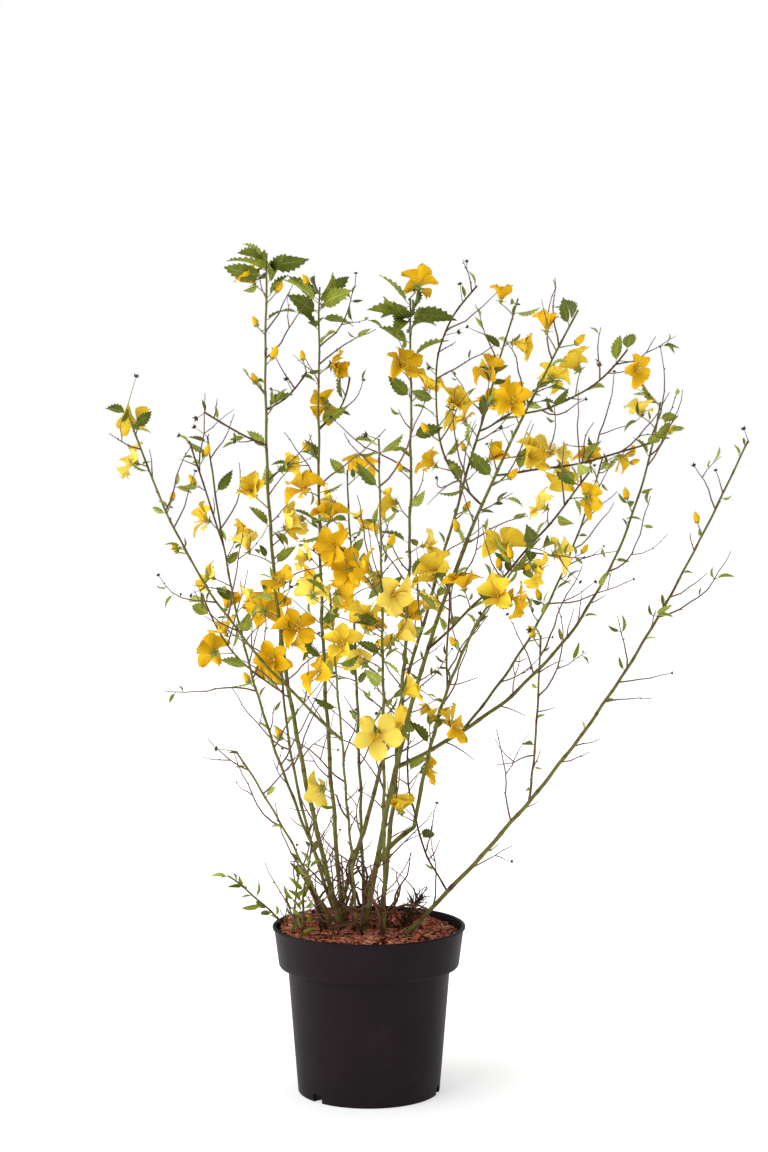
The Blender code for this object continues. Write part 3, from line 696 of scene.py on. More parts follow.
def shader_of(name, roughness, sheen=0.0, subsurface=0.0, specular=0.5):
    made = bpy.data.materials.new(name)
    made.use_nodes = True
    shader = made.node_tree.nodes["Principled BSDF"]
    shader.inputs["Roughness"].default_value = roughness
    shader.inputs["Specular IOR Level"].default_value = specular
    shader.inputs["Sheen Weight"].default_value = sheen
    if subsurface:
        shader.inputs["Subsurface Weight"].default_value = subsurface
        shader.inputs["Subsurface Radius"].default_value = (1.0, 0.6, 0.2)
        shader.inputs["Subsurface Scale"].default_value = 0.002
    return made, made.node_tree, shader


def link(tree, source, output, target, entry):
    tree.links.new(source.outputs[output], target.inputs[entry])


def math_node(tree, operation, source, output, value=0.0):
    """A sum over one value and a number."""
    found = tree.nodes.new("ShaderNodeMath")
    found.operation = operation
    found.inputs[1].default_value = value
    link(tree, source, output, found, 0)
    return found


def noise_node(tree, coordinates, output, scale, detail=4.0, roughness=0.6, stretch=(1, 1, 1)):
    """A noise, with its pattern stretched by a Mapping node where that is asked for."""
    found = tree.nodes.new("ShaderNodeTexNoise")
    found.inputs["Scale"].default_value = scale
    found.inputs["Detail"].default_value = detail
    found.inputs["Roughness"].default_value = roughness
    mapping = tree.nodes.new("ShaderNodeMapping")
    mapping.inputs["Scale"].default_value = stretch
    link(tree, coordinates, output, mapping, "Vector")
    link(tree, mapping, "Vector", found, "Vector")
    return found


def ramp_node(tree, source, output, stops):
    """A colour ramp over (place, colour) stops."""
    ramp = tree.nodes.new("ShaderNodeValToRGB")
    band = ramp.color_ramp
    band.elements[0].position, band.elements[0].color = stops[0]
    band.elements[1].position, band.elements[1].color = stops[-1]
    for place, colour in stops[1:-1]:
        band.elements.new(place).color = colour
    link(tree, source, output, ramp, "Fac")
    return ramp


def bump_node(tree, source, output, strength, distance, shader):
    bump = tree.nodes.new("ShaderNodeBump")
    bump.inputs["Strength"].default_value = strength
    bump.inputs["Distance"].default_value = distance
    link(tree, source, output, bump, "Height")
    link(tree, bump, "Normal", shader, "Normal")


def vary_roughness(tree, source, output, low, high, shader):
    spread = tree.nodes.new("ShaderNodeMapRange")
    spread.inputs["To Min"].default_value = low
    spread.inputs["To Max"].default_value = high
    link(tree, source, output, spread, "Value")
    link(tree, spread, "Result", shader, "Roughness")


def tone(colour, factor, warmth=0.0):
    """A colour made lighter or darker, and warmer or cooler."""
    return (
        min(1, colour[0] * factor * (1 + warmth)),
        min(1, colour[1] * factor),
        min(1, colour[2] * factor * (1 - warmth)),
        1,
    )


def mottled(name, colour, scale, roughness, bump=0.25, depth=0.0004, spread=0.25, **extra):
    """A surface whose colour, gloss and relief vary with a fine noise in the object's own space."""
    made, tree, shader = shader_of(name, roughness, **extra)
    place = tree.nodes.new("ShaderNodeTexCoord")
    coarse = noise_node(tree, place, "Object", scale)
    fine = noise_node(tree, place, "Object", scale * 7, 3.0)
    ramp = ramp_node(tree, coarse, "Fac", [
        (0.30, tone(colour, 1 - spread)),
        (0.52, tone(colour, 1.0)),
        (0.74, tone(colour, 1 + spread, 0.05)),
    ])
    link(tree, ramp, "Color", shader, "Base Color")
    vary_roughness(tree, fine, "Fac", max(0, roughness - 0.1), min(1, roughness + 0.1), shader)
    bump_node(tree, fine, "Fac", bump, depth, shader)
    return made


def cane_bark(name, green, brown, roughness, age):
    """Smooth green bark that browns with age and towards the foot, with fine lines, pores and brown marks."""
    made, tree, shader = shader_of(name, roughness, specular=0.08)
    place = tree.nodes.new("ShaderNodeTexCoord")
    lines = noise_node(tree, place, "UV", 26.0, 3.0, 0.55, (3.0, 0.6, 1))
    marks = noise_node(tree, place, "Object", 85.0, 3.0, 0.7)
    height = tree.nodes.new("ShaderNodeSeparateXYZ")
    link(tree, place, "Object", height, "Vector")
    reach = tree.nodes.new("ShaderNodeMapRange")
    reach.inputs["From Min"].default_value = SOIL_TOP
    reach.inputs["From Max"].default_value = SOIL_TOP + 0.075
    reach.inputs["To Min"].default_value = 0.13
    reach.inputs["To Max"].default_value = 0.0
    link(tree, height, "Z", reach, "Value")
    walk = tree.nodes.new("ShaderNodeSeparateXYZ")
    link(tree, place, "UV", walk, "Vector")
    to_node = tree.nodes.new("ShaderNodeMath")
    to_node.operation = "PINGPONG"
    to_node.inputs[1].default_value = 0.5
    link(tree, walk, "Y", to_node, 0)
    ring = tree.nodes.new("ShaderNodeMapRange")
    ring.inputs["From Min"].default_value = 0.0
    ring.inputs["From Max"].default_value = 0.07
    ring.inputs["To Min"].default_value = 0.15
    ring.inputs["To Max"].default_value = 0.0
    link(tree, to_node, "Value", ring, "Value")
    brown_parts = tree.nodes.new("ShaderNodeMath")
    brown_parts.operation = "ADD"
    link(tree, ring, "Result", brown_parts, 0)
    link(tree, reach, "Result", brown_parts, 1)
    drift = tree.nodes.new("ShaderNodeMapRange")
    drift.inputs["From Min"].default_value = 0.35
    drift.inputs["From Max"].default_value = 0.65
    drift.inputs["To Min"].default_value = age - 0.05
    drift.inputs["To Max"].default_value = age + 0.07
    link(tree, noise_node(tree, place, "Object", 11.0, 1.0), "Fac", drift, "Value")
    stretches = tree.nodes.new("ShaderNodeMath")
    stretches.operation = "ADD"
    link(tree, brown_parts, "Value", stretches, 0)
    link(tree, drift, "Result", stretches, 1)
    total = tree.nodes.new("ShaderNodeMath")
    total.operation = "ADD"
    link(tree, marks, "Fac", total, 0)
    link(tree, stretches, "Value", total, 1)
    ramp = ramp_node(tree, total, "Value", [
        (0.32, tone(green, 1.25)),
        (0.52, tone(green, 1.0)),
        (0.65, tone(green, 0.74, 0.12)),
        (0.78, tone(brown, 1.0)),
        (0.95, tone(brown, 0.6)),
    ])
    link(tree, ramp, "Color", shader, "Base Color")
    vary_roughness(tree, marks, "Fac", roughness - 0.12, roughness + 0.15, shader)
    bump_node(tree, lines, "Fac", 0.5, 0.0004, shader)
    return made


def leaf_skin(name, colour, roughness):
    """A leaf's surface: a pale midrib and side veins along its own map, and a mottled blade."""
    made, tree, shader = shader_of(name, roughness, specular=0.10)
    place = tree.nodes.new("ShaderNodeTexCoord")
    blotch = noise_node(tree, place, "Object", 160.0)
    ramp = ramp_node(tree, blotch, "Fac", [
        (0.30, tone(colour, 0.70)),
        (0.55, tone(colour, 1.0)),
        (0.78, tone(colour, 1.35, 0.08)),
    ])
    parts = tree.nodes.new("ShaderNodeSeparateXYZ")
    link(tree, place, "UV", parts, "Vector")
    middle = math_node(tree, "SUBTRACT", parts, "X", 0.5)
    away = math_node(tree, "ABSOLUTE", middle, "Value")
    slant = math_node(tree, "MULTIPLY_ADD", away, "Value", -0.5)
    link(tree, parts, "Y", slant, 2)
    rows = math_node(tree, "MULTIPLY", slant, "Value", LEAF_VEINS)
    between = math_node(tree, "PINGPONG", rows, "Value", 0.5)
    rib = ramp_node(tree, away, "Value", [(0.0, (1, 1, 1, 1)), (0.045, (0, 0, 0, 1))])
    side_ribs = ramp_node(tree, between, "Value", [(0.0, (0.6, 0.6, 0.6, 1)), (0.13, (0, 0, 0, 1))])
    veins = math_node(tree, "MAXIMUM", rib, "Color")
    link(tree, side_ribs, "Color", veins, 1)
    mix = tree.nodes.new("ShaderNodeMix")
    mix.data_type = "RGBA"
    tree.links.new(veins.outputs["Value"], mix.inputs["Factor"])
    tree.links.new(ramp.outputs["Color"], mix.inputs["A"])
    mix.inputs["B"].default_value = tone(colour, 1.9, 0.05)
    tree.links.new(mix.outputs["Result"], shader.inputs["Base Color"])
    bump_node(tree, between, "Value", 0.5, 0.0008, shader)
    vary_roughness(tree, blotch, "Fac", roughness - 0.1, roughness + 0.12, shader)
    return made


def petal_skin(name, colour, deep):
    """A petal's surface: fine veins from foot to edge, and a deeper tone towards its foot."""
    made, tree, shader = shader_of(name, 0.6, specular=0.12)
    place = tree.nodes.new("ShaderNodeTexCoord")
    parts = tree.nodes.new("ShaderNodeSeparateXYZ")
    link(tree, place, "UV", parts, "Vector")
    veins = noise_node(tree, place, "UV", 3.0, 2.0, 0.5, (5, 0.7, 1))
    total = tree.nodes.new("ShaderNodeMath")
    total.operation = "MULTIPLY_ADD"
    total.inputs[1].default_value = 0.45
    link(tree, veins, "Fac", total, 0)
    link(tree, parts, "Y", total, 2)
    ramp = ramp_node(tree, total, "Value", [
        (0.18, tone(deep, 0.95)),
        (0.44, tone(colour, 0.90)),
        (0.74, tone(colour, 1.0)),
        (1.0, tone(colour, 1.05)),
    ])
    link(tree, ramp, "Color", shader, "Base Color")
    bump_node(tree, veins, "Fac", 0.10, 0.0002, shader)
    return made


# Modelling

def start_clean():
    """Leaves edit mode, if it is on, and deselects everything."""
    if bpy.context.mode != "OBJECT":
        bpy.ops.object.mode_set(mode="OBJECT")
    bpy.ops.object.select_all(action="DESELECT")


def shape_points(thing, move):
    """Moves every point of a mesh in edit mode: move takes a point's place and gives its new one."""
    bpy.ops.object.mode_set(mode="EDIT")
    work = bmesh.from_edit_mesh(thing.data)
    for vert in work.verts:
        vert.co = move(vert.co.copy())
    bmesh.update_edit_mesh(thing.data)
    bpy.ops.object.mode_set(mode="OBJECT")


def taken(thing, uv_from=None):
    """A modelled object as a Model to be copied, with the object itself removed."""
    mesh = thing.data
    points = np.array([vert.co for vert in mesh.vertices])
    faces = [tuple(face.vertices) for face in mesh.polygons]
    if uv_from is None and mesh.uv_layers:
        layer = mesh.uv_layers.active.data
        uvs = [tuple(layer[i].uv) for face in mesh.polygons for i in face.loop_indices]
    else:
        uvs = [(0.0, 0.0) for face in faces for i in face]
    bpy.data.objects.remove(thing, do_unlink=True)
    return Model(points, faces, np.array(uvs))


def merged(models):
    """Several models as one."""
    points, faces, uvs, shift = [], [], [], 0
    for model in models:
        points.append(model.points)
        faces.extend(tuple(i + shift for i in face) for face in model.faces)
        uvs.append(model.uvs)
        shift += len(model.points)
    return Model(np.concatenate(points), faces, np.concatenate(uvs))


def placed(model, matrix):
    """A copy of a model at its place."""
    turn = np.array(matrix)
    return Model(model.points @ turn[:3, :3].T + turn[:3, 3], model.faces, model.uvs)


def piece(name, models, material, nodes=(), smooth=True):
    """One object of many copies, joined into a single mesh that rides on the plant."""
    whole = merged(models)
    mesh = bpy.data.meshes.new(name)
    mesh.from_pydata(whole.points.tolist(), [], whole.faces)
    layer = mesh.uv_layers.new(name="UVMap")
    layer.data.foreach_set("uv", whole.uvs.astype(np.float32).ravel())
    mesh.materials.append(material)
    if smooth:
        mesh.shade_smooth()
    thing = bpy.data.objects.new(name, mesh)
    bpy.context.scene.collection.objects.link(thing)
    return belongs(thing, nodes)


def belongs(thing, nodes=()):
    """Ties a piece to the plant, and hides the solids that it stands for."""
    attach(thing, "root")
    if nodes:
        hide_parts(*nodes)
    return thing


def facing(origin, along, up, size=1.0):
    """The matrix that puts a model at a point, with its Y axis along one way and its Z axis near another."""
    y = along.normalized()
    x = y.cross(up)
    x = x.normalized() if x.length > 1e-6 else y.orthogonal().normalized()
    z = x.cross(y)
    turn = Matrix((x, y, z)).transposed().to_4x4()
    return Matrix.Translation(origin) @ turn @ Matrix.Scale(size, 4)


def strand(line, radii, sides):
    """A thin tube along a line, as a model, closed at its end."""
    points, faces = tube(line, radii, sides)
    return Model(np.array([tuple(p) for p in points]), faces, np.zeros((sum(len(f) for f in faces), 2)))


def bent(start, way, end, steps=3):
    """A line from a start that leaves it one way and then bends over to its end."""
    reach = (end - start).length
    middle = start + way * reach * 0.55
    return [
        start.lerp(middle, i / steps).lerp(middle.lerp(end, i / steps), i / steps) for i in range(steps + 1)
    ]


def tapering(girth, count):
    """Radii that taper to under half."""
    return [girth * (1 - 0.6 * i / (count - 1)) for i in range(count)]


def inside(point, margin=0.002):
    """Whether a point lies in the solids' box."""
    return all(SOLID_BOX[0][k] + margin < point[k] < SOLID_BOX[1][k] - margin for k in range(3))


# Canes

def ring_shares(length):
    count = max(6, round(length / RING_STEP))
    return [i / count for i in range(count + 1)]


def thickness(stem, t):
    """A cane's real radius: its solid's, with less of the solid's flare at the foot."""
    return min(girth_at(stem, t), stem.girth * 1.08)


def nodes_passed(stem, walked):
    """How many nodes lie below a distance along a stem. The spaces between them differ."""
    seed = random.Random(stem.name + " nodes").uniform(0, math.tau)
    return walked / INTERNODE + NODE_DRIFT * math.sin(walked * NODE_DRIFT_RATE + seed)


def knuckle(nodes):
    """How much a stem swells at a number of nodes passed, which is whole in the middle of a node."""
    distance = (nodes - round(nodes)) * INTERNODE
    return NODE_SWELL * math.exp(-((distance / NODE_LENGTH) ** 2))


def stem_mesh(stem, grown, sides, relief, cut=False):
    """A stem with its nodes, lengthwise ridges and pores in the mesh itself."""
    length = grown.length(stem.name)
    rng = random.Random(stem.name + " bark")
    seed = Vector((rng.uniform(0, 50), rng.uniform(0, 50), 0))
    points, uvs_at = [], []
    side = Vector((0, 1, 0))
    shares = ring_shares(length)
    for t in shares:
        centre = grown.axis(stem.name, t)
        along = grown.direction(stem.name, min(t, 0.98))
        side = (side - along * side.dot(along)).normalized()
        across = along.cross(side)
        walked = t * length
        base = girth_at(stem, t) if cut else thickness(stem, t)
        nodes = nodes_passed(stem, walked)
        if not cut:
            base *= 1 + knuckle(nodes)
        for k in range(sides):
            angle = math.tau * k / sides
            out = side * math.cos(angle) + across * math.sin(angle)
            rough = noise.noise(Vector((math.cos(angle), math.sin(angle), walked * 60)) * 1.6 + seed)
            ridge = math.sin(angle * 3 + seed.x + walked * 9)
            points.append(tuple(centre + out * base * (1 + relief * (rough + 0.5 * ridge))))
        uvs_at.append(nodes)
    faces, uvs = [], []
    for i in range(len(shares) - 1):
        for k in range(sides):
            near = (k + 1) % sides
            faces.append((i * sides + k, i * sides + near, (i + 1) * sides + near, (i + 1) * sides + k))
            low, high = uvs_at[i], uvs_at[i + 1]
            uvs += [(k / sides, low), ((k + 1) / sides, low), ((k + 1) / sides, high), (k / sides, high)]
    for end in (tuple(reversed(range(sides))), tuple(range(len(points) - sides, len(points)))):
        faces.append(end)
        uvs += [(0, 0)] * sides
    return Model(np.array(points), faces, np.array(uvs))


def node_buds(grown, scale_model):
    """A small pointed bud in its scales at the nodes of every cane."""
    copies = []
    for stem in filter(bears_foliage, STEMS):
        length = grown.length(stem.name)
        shares = ring_shares(length)
        passed = [math.floor(nodes_passed(stem, t * length)) for t in shares]
        for number, (t, before, after) in enumerate(zip(shares[1:], passed, passed[1:])):
            if after == before:
                continue
            rng = random.Random(f"{stem.name} bud {number}")
            along = grown.direction(stem.name, t)
            way = shoot_direction(along, (-1) ** after, rng.uniform(-1, 1))
            root = grown.axis(stem.name, t) + way * girth_at(stem, t) * 0.4
            size = rng.uniform(0.7, 1.2)
            copies.append(placed(scale_model, facing(root, (way + along).normalized(), along, size)))
    return copies


def wisp_buds(grown, scale_model):
    """Dormant buds at the joints of the fine twigs."""
    copies = []
    for wisp in grown.wisps:
        rng = random.Random(f"{wisp.stem.name} wisp buds {wisp.number}")
        for before, here, after in zip(wisp.line, wisp.line[1:], wisp.line[2:]):
            if rng.random() < WISP_BUDS:
                along = (after - before).normalized()
                way = (along + random_way(rng) * 0.7).normalized()
                copies.append(placed(scale_model, facing(here, way, along, rng.uniform(0.5, 0.9))))
    return copies


def model_scale_bud():
    """A dormant bud, 3 mm long."""
    start_clean()
    bpy.ops.mesh.primitive_uv_sphere_add(segments=6, ring_count=4, radius=1)
    bud = bpy.context.object
    shape_points(bud, lambda p: Vector((p.x * 0.0008 * (1 - 0.3 * p.z), (p.z + 1) * 0.0015, p.y * 0.0007)))
    return taken(bud, uv_from=False)


# Twigs

def flower_stalks(grown):
    """The short shoots that carry blooms, buds and dry heads."""
    models = []
    for flower in grown.flowers:
        root = grown.axis(flower.stem.name, flower.share)
        foot = flower.centre - flower.face * 0.0035 if flower.kind == "blooms" else flower.end
        line = bent(root, flower.way, foot, 4)
        thick = SHOOT_GIRTH * (0.75 if flower.kind != "heads" else 0.5)
        models.append(strand(line, [thick * (1.1 - 0.1 * i) for i in range(len(line))], 5))
    return models


Wisp = namedtuple("Wisp", "stem share line number girth")


def wisps_of(grown):
    """Fine side twigs along every stem, which rise as they go and stay within the plant's reach."""
    wisps = []
    for stem in filter(bears_foliage, STEMS):
        length = grown.length(stem.name)
        low = 0.06 if in_soil(stem) else 0.1
        count = int(length * (1 - low) / WISP_STEP)
        for number in range(count):
            rng = random.Random(f"{stem.name} wisp {number}")
            t = low + (0.97 - low) * (number + rng.uniform(0.1, 0.9)) / count
            if rng.random() < 0.34:
                continue
            root = grown.axis(stem.name, t)
            along = grown.direction(stem.name, t)
            way = shoot_direction(along, rng.choice((-1, 1)), rng.uniform(-1.4, 1.4))
            reach = WISP_LENGTHS[0] + (WISP_LENGTHS[1] - WISP_LENGTHS[0]) * rng.random() ** 1.5
            line = twig_line(root, way, reach, rng.uniform(0.0, 0.16), rng)
            if len(line) < 3:
                continue
            wisps.append(Wisp(stem, t, line, number, WISP_GIRTH * (0.9 + 4 * reach)))
            if reach > 0.035 and rng.random() < FORK_CHANCE:
                fork, on = at(line, rng.uniform(0.3, 0.7))
                side = shoot_direction(on, rng.choice((-1, 1)), rng.uniform(-1.4, 1.4))
                branch = twig_line(fork, side, reach * rng.uniform(0.3, 0.6), 0.08, rng)
                if len(branch) > 2:
                    wisps.append(Wisp(stem, t, branch, number + 1000, WISP_GIRTH * 0.8))
    return wisps


def foot_twigs(grown):
    """Old bare twigs between the feet of the canes, kinked and forked."""
    models = []
    feet = [stem for stem in STEMS if in_soil(stem) and stem.bare]
    for number in range(FOOT_TWIGS):
        rng = random.Random(f"foot twig {number}")
        stem = rng.choice(feet)
        t = rng.uniform(*FOOT_TWIG_ROOTS) / grown.length(stem.name)
        way = grown.direction(stem.name, t) * 0.7 + random_way(rng)
        way.z = abs(way.z) + 0.15
        reach = rng.uniform(*FOOT_TWIG_LENGTHS)
        girth = rng.uniform(*FOOT_TWIG_GIRTHS)
        line = twig_line(grown.axis(stem.name, t), way.normalized(), reach, 0.10, rng, 0.55)
        models.append(strand(line, tapering(girth, len(line)), 5))
        for fork in range(rng.choice((0, 1, 1, 2))):
            point, along = at(line, rng.uniform(0.25, 0.8))
            side = (along + random_way(rng) * 0.9).normalized()
            branch = twig_line(point, side, reach * rng.uniform(0.25, 0.6), 0.10, rng, 0.55)
            models.append(strand(branch, tapering(girth * 0.6, len(branch)), 4))
    return models


def broom(grown, name):
    """A thick tuft of short dead twigs on a stub."""
    models = []
    for number in range(BROOM_TWIGS):
        rng = random.Random(f"{name} broom {number}")
        t = rng.uniform(0.15, 1)
        way = (grown.direction(name, t) + random_way(rng) * 0.75).normalized()
        line = twig_line(grown.axis(name, t), way, rng.uniform(*BROOM_LENGTHS), 0.08, rng, 0.5)
        models.append(strand(line, tapering(rng.uniform(0.0004, 0.0008), len(line)), 4))
    return models


def twig_line(root, way, reach, lift, rng, kink=0.22):
    """A thin twig's line: it turns a little at each joint, rises as it goes, and ends within the plant's reach."""
    line = [root]
    joints = max(3, round(reach / WISP_JOINT))
    for k in range(joints):
        way = (way + Vector((0, 0, lift)) + random_way(rng) * kink).normalized()
        line.append(line[-1] + way * reach / joints)
    while len(line) > 2 and not inside(line[-1]):
        line.pop()
    return line


# Leaves

def model_leaf(width, fold, curl, twist, teeth=7):
    """A leaf one unit long: pointed, doubly pleated between its veins, with forward teeth along both edges."""
    rows = teeth * 2
    start_clean()
    bpy.ops.mesh.primitive_grid_add(x_subdivisions=4, y_subdivisions=rows, size=2)
    leaf = bpy.context.object

    def move(p):
        across, along = p.x, (p.y + 1) / 2
        row = round(along * rows)
        tooth = row % 2
        edge = abs(across) > 0.9
        wide = width * along**0.6 * (1 - along) ** 1.3 / 0.306
        if edge and 0 < row < rows:
            wide = wide * (1.0 if tooth else 0.84) + 0.010 * tooth
        step = 0.55 / rows * tooth if edge and row < rows - 1 else 0
        lift = fold * abs(across) * wide + 0.011 * (1 if tooth else -1) * abs(across) * (0 < row < rows)
        turn = twist * (along - 0.2)
        x = across * wide
        y = along + step + abs(across) * 0.05 * math.sin(math.pi * along)
        bow = -curl * along**2 + 0.05 * math.sin(math.pi * along)
        return Vector((x * math.cos(turn) - lift * math.sin(turn), y, x * math.sin(turn) + lift * math.cos(turn) + bow))

    shape_points(leaf, move)
    return taken(leaf)


def leaf_models():
    """Broad grown leaves, and narrow young ones that are still half folded."""
    grown = [
        model_leaf(0.24, 0.25, 0.02, 0.0),
        model_leaf(0.21, 0.50, 0.14, 0.4),
        model_leaf(0.26, 0.15, 0.20, -0.3),
        model_leaf(0.20, 0.65, -0.06, 0.3),
    ]
    young = [
        model_leaf(0.15, 1.10, -0.12, 0.0),
        model_leaf(0.17, 0.80, 0.10, 0.4),
        model_leaf(0.13, 1.40, 0.05, -0.3),
    ]
    return grown, young


def leaf_copy(models, root, way, face, length, rng):
    """A leaf on its stalk, as (blade, stalk)."""
    stalk_end = root + way * length * 0.14
    blade = placed(rng.choice(models), facing(stalk_end, way, face, length * 0.87))
    return blade, strand([root, stalk_end + way * length * 0.03], [0.00042, 0.0003], 4)


def is_lush(grown, leaf):
    """Whether a leaf has grown out: near a bloom, or at the tip of a stem that blooms."""
    own = [flower.share for flower in grown.flowers if flower.stem == leaf.stem and flower.kind == "blooms"]
    length = grown.length(leaf.stem.name)
    near = any(abs(share - leaf.share) * length < LUSH_REACH for share in own)
    return near or (leaf.share > 0.9 and bool(own)) or (leaf.share > 0.8 and leaf.stem.name in TALL)


def any_face(rng, way):
    """A way for a blade to face: any that lies well across its own."""
    while True:
        face = (Vector((0, -0.35, 0.35)) + random_way(rng)).normalized()
        if abs(face.dot(way)) < 0.8:
            return face


def all_leaves(grown, broad, young):
    """Every leaf as (tone number, blade, stalk): the rule's own, and the small ones of flower shoots and twigs."""
    leaves = []
    for number, leaf in enumerate(grown.leaves):
        rng = random.Random(f"leaf {number}")
        root = grown.axis(leaf.stem.name, leaf.share) + leaf.way * thickness(leaf.stem, leaf.share) * 0.5
        face = any_face(rng, leaf.way)
        if is_lush(grown, leaf):
            leaves.append((rng.choice((0, 0, 1, 1, 2)), *leaf_copy(broad, root, leaf.way, face, leaf.length, rng)))
        else:
            length = leaf.length * rng.uniform(*YOUNG_SHARES) * (1 if leaf.stem.blooms else SPARSE_SHARE)
            leaves.append((rng.choice((0, 1, 2)), *leaf_copy(young, root, leaf.way, face, length, rng)))
    for name in TALL:
        for number in range(TUFT_LEAVES):
            rng = random.Random(f"{name} tuft {number}")
            t = rng.uniform(0.94, 1.0)
            around = lean_vector(360 / TUFT_LEAVES * (number * 3 % TUFT_LEAVES) + rng.uniform(-20, 20), 90)
            way = (around + Vector((0, 0, rng.uniform(-0.5, 1.2)))).normalized()
            length = rng.uniform(*TUFT_LENGTHS)
            root = grown.axis(name, t) + around * thickness(BY_NAME[name], t) * 0.5
            if inside(root + way * length):
                face = any_face(rng, way)
                leaves.append((rng.choice((0, 1, 1)), *leaf_copy(broad, root, way, face, length, rng)))
    for stem in STEMS:
        if stem.bare or not in_soil(stem):
            continue
        count = int(grown.length(stem.name) / SPRIG_LEAF_GAP)
        for number in range(count):
            rng = random.Random(f"{stem.name} sprig leaf {number}")
            t = (number + rng.uniform(0.3, 1)) / count
            side = -1 if number % 2 else 1
            root = grown.axis(stem.name, t)
            way = shoot_direction(grown.direction(stem.name, t), side, rng.uniform(-1.5, 1.5))
            length = rng.uniform(*SPRIG_LEAF_LENGTHS)
            if inside(root + way * length) and (root + way * length).z > SOIL_TOP + 0.012:
                face = any_face(rng, way)
                leaves.append((rng.choice((0, 0, 2)), *leaf_copy(young, root, way, face, length, rng)))
    for number, flower in enumerate(grown.flowers):
        rng = random.Random(f"flower leaf {number}")
        root = grown.axis(flower.stem.name, flower.share)
        for k in range(rng.choice((0, 1, 1, 2)) if flower.kind != "heads" else 0):
            at_point = root.lerp(flower.end, rng.uniform(0.25, 0.75))
            way = (flower.way * 0.5 + random_way(rng)).normalized()
            length = rng.uniform(*SMALL_LEAF_LENGTHS)
            if inside(at_point + way * length):
                face = any_face(rng, way)
                leaves.append((rng.choice((0, 0, 1, 2)), *leaf_copy(broad, at_point, way, face, length, rng)))
    for wisp in grown.wisps:
        rng = random.Random(f"{wisp.stem.name} wisp leaf {wisp.number}")
        leafless = 0.55 if wisp.stem.blooms else 0.90
        if rng.random() < leafless or wisp.share < wisp.stem.bare * 0.8:
            continue
        for k in range(rng.choice((1, 2, 3))):
            where = rng.uniform(0.35, 1.0)
            at_point, along = at(wisp.line, where)
            way = (along * 0.8 + random_way(rng)).normalized()
            length = rng.uniform(*SMALL_LEAF_LENGTHS)
            if inside(at_point + way * length):
                face = any_face(rng, way)
                leaves.append((rng.choice((0, 0, 1, 2)), *leaf_copy(young, at_point, way, face, length, rng)))
    return leaves


# Flowers

def model_petal(width, cup, ruffle, notch):
    """A petal one unit long: narrow at its foot, broad and round at its edge, dished and a little ruffled."""
    start_clean()
    bpy.ops.mesh.primitive_grid_add(x_subdivisions=6, y_subdivisions=8, size=2)
    petal = bpy.context.object

    def move(p):
        across = p.x
        along = math.sin((p.y + 1) * math.pi / 4)
        wide = width * (0.13 + 0.87 * math.sin(math.pi * 0.5 * min(1, along / 0.60)) ** 1.5)
        if along > 0.60:
            wide *= math.sqrt(max(0.0, 1 - ((along - 0.60) / 0.42) ** 2))
        reach = along * (1 - 0.12 * across * across * along) - notch * along**6 * (1 - abs(across)) ** 2
        reach += 0.022 * along**6 * math.sin(across * 8 + width * 30)
        dish = cup * (across * wide) ** 2 * 2.2
        bow = 0.10 * math.sin(math.pi * along) - cup * 0.12 * along**3
        wave = ruffle * along**2 * math.sin(across * 4.3 + width * 9 + along * 3)
        wave += ruffle * 0.5 * along**3 * math.sin(across * 9 + width * 20 + along * 7)
        return Vector((across * wide, reach, dish + bow + wave))

    shape_points(petal, move)
    return taken(petal)


def petal_models():
    return [
        model_petal(0.38, 0.8, 0.035, 0.03),
        model_petal(0.35, 0.5, 0.060, 0.10),
        model_petal(0.41, 1.2, 0.032, 0.05),
        model_petal(0.36, -0.5, 0.080, 0.02),
        model_petal(0.33, 1.7, 0.100, 0.06),
    ]


def bloom_frame(flower):
    """The matrix of a bloom: its Z axis is the way it faces."""
    z = flower.face
    x = z.orthogonal().normalized()
    y = z.cross(x)
    return Matrix.Translation(flower.centre) @ Matrix((x, y, z)).transposed().to_4x4()


def petals_of(flower, models):
    """Five petals, each a little differently set, some of them hanging or upright."""
    rng = random.Random(flower.key + " petals")
    open_out = rng.choice((rng.uniform(0, 28), rng.uniform(25, 58))) if flower.key != FRONT_BLOOM else 8
    copies = []
    for k in range(PETALS):
        turn = math.radians(flower.spin + 360 / PETALS * k - 90 + rng.uniform(-7, 7))
        rise = math.radians(open_out + rng.uniform(-12, 16))
        size = flower.radius * rng.uniform(0.84, 1.05)
        matrix = (
            bloom_frame(flower)
            @ Matrix.Rotation(turn, 4, "Z")
            @ Matrix.Translation((0, 0.0012, 0.0003 * k))
            @ Matrix.Rotation(rise, 4, "X")
            @ Matrix.Rotation(math.radians(rng.uniform(0, 12)), 4, "Y")
            @ Matrix.Scale(size, 4)
        )
        copies.append(placed(rng.choice(models), matrix))
    return copies


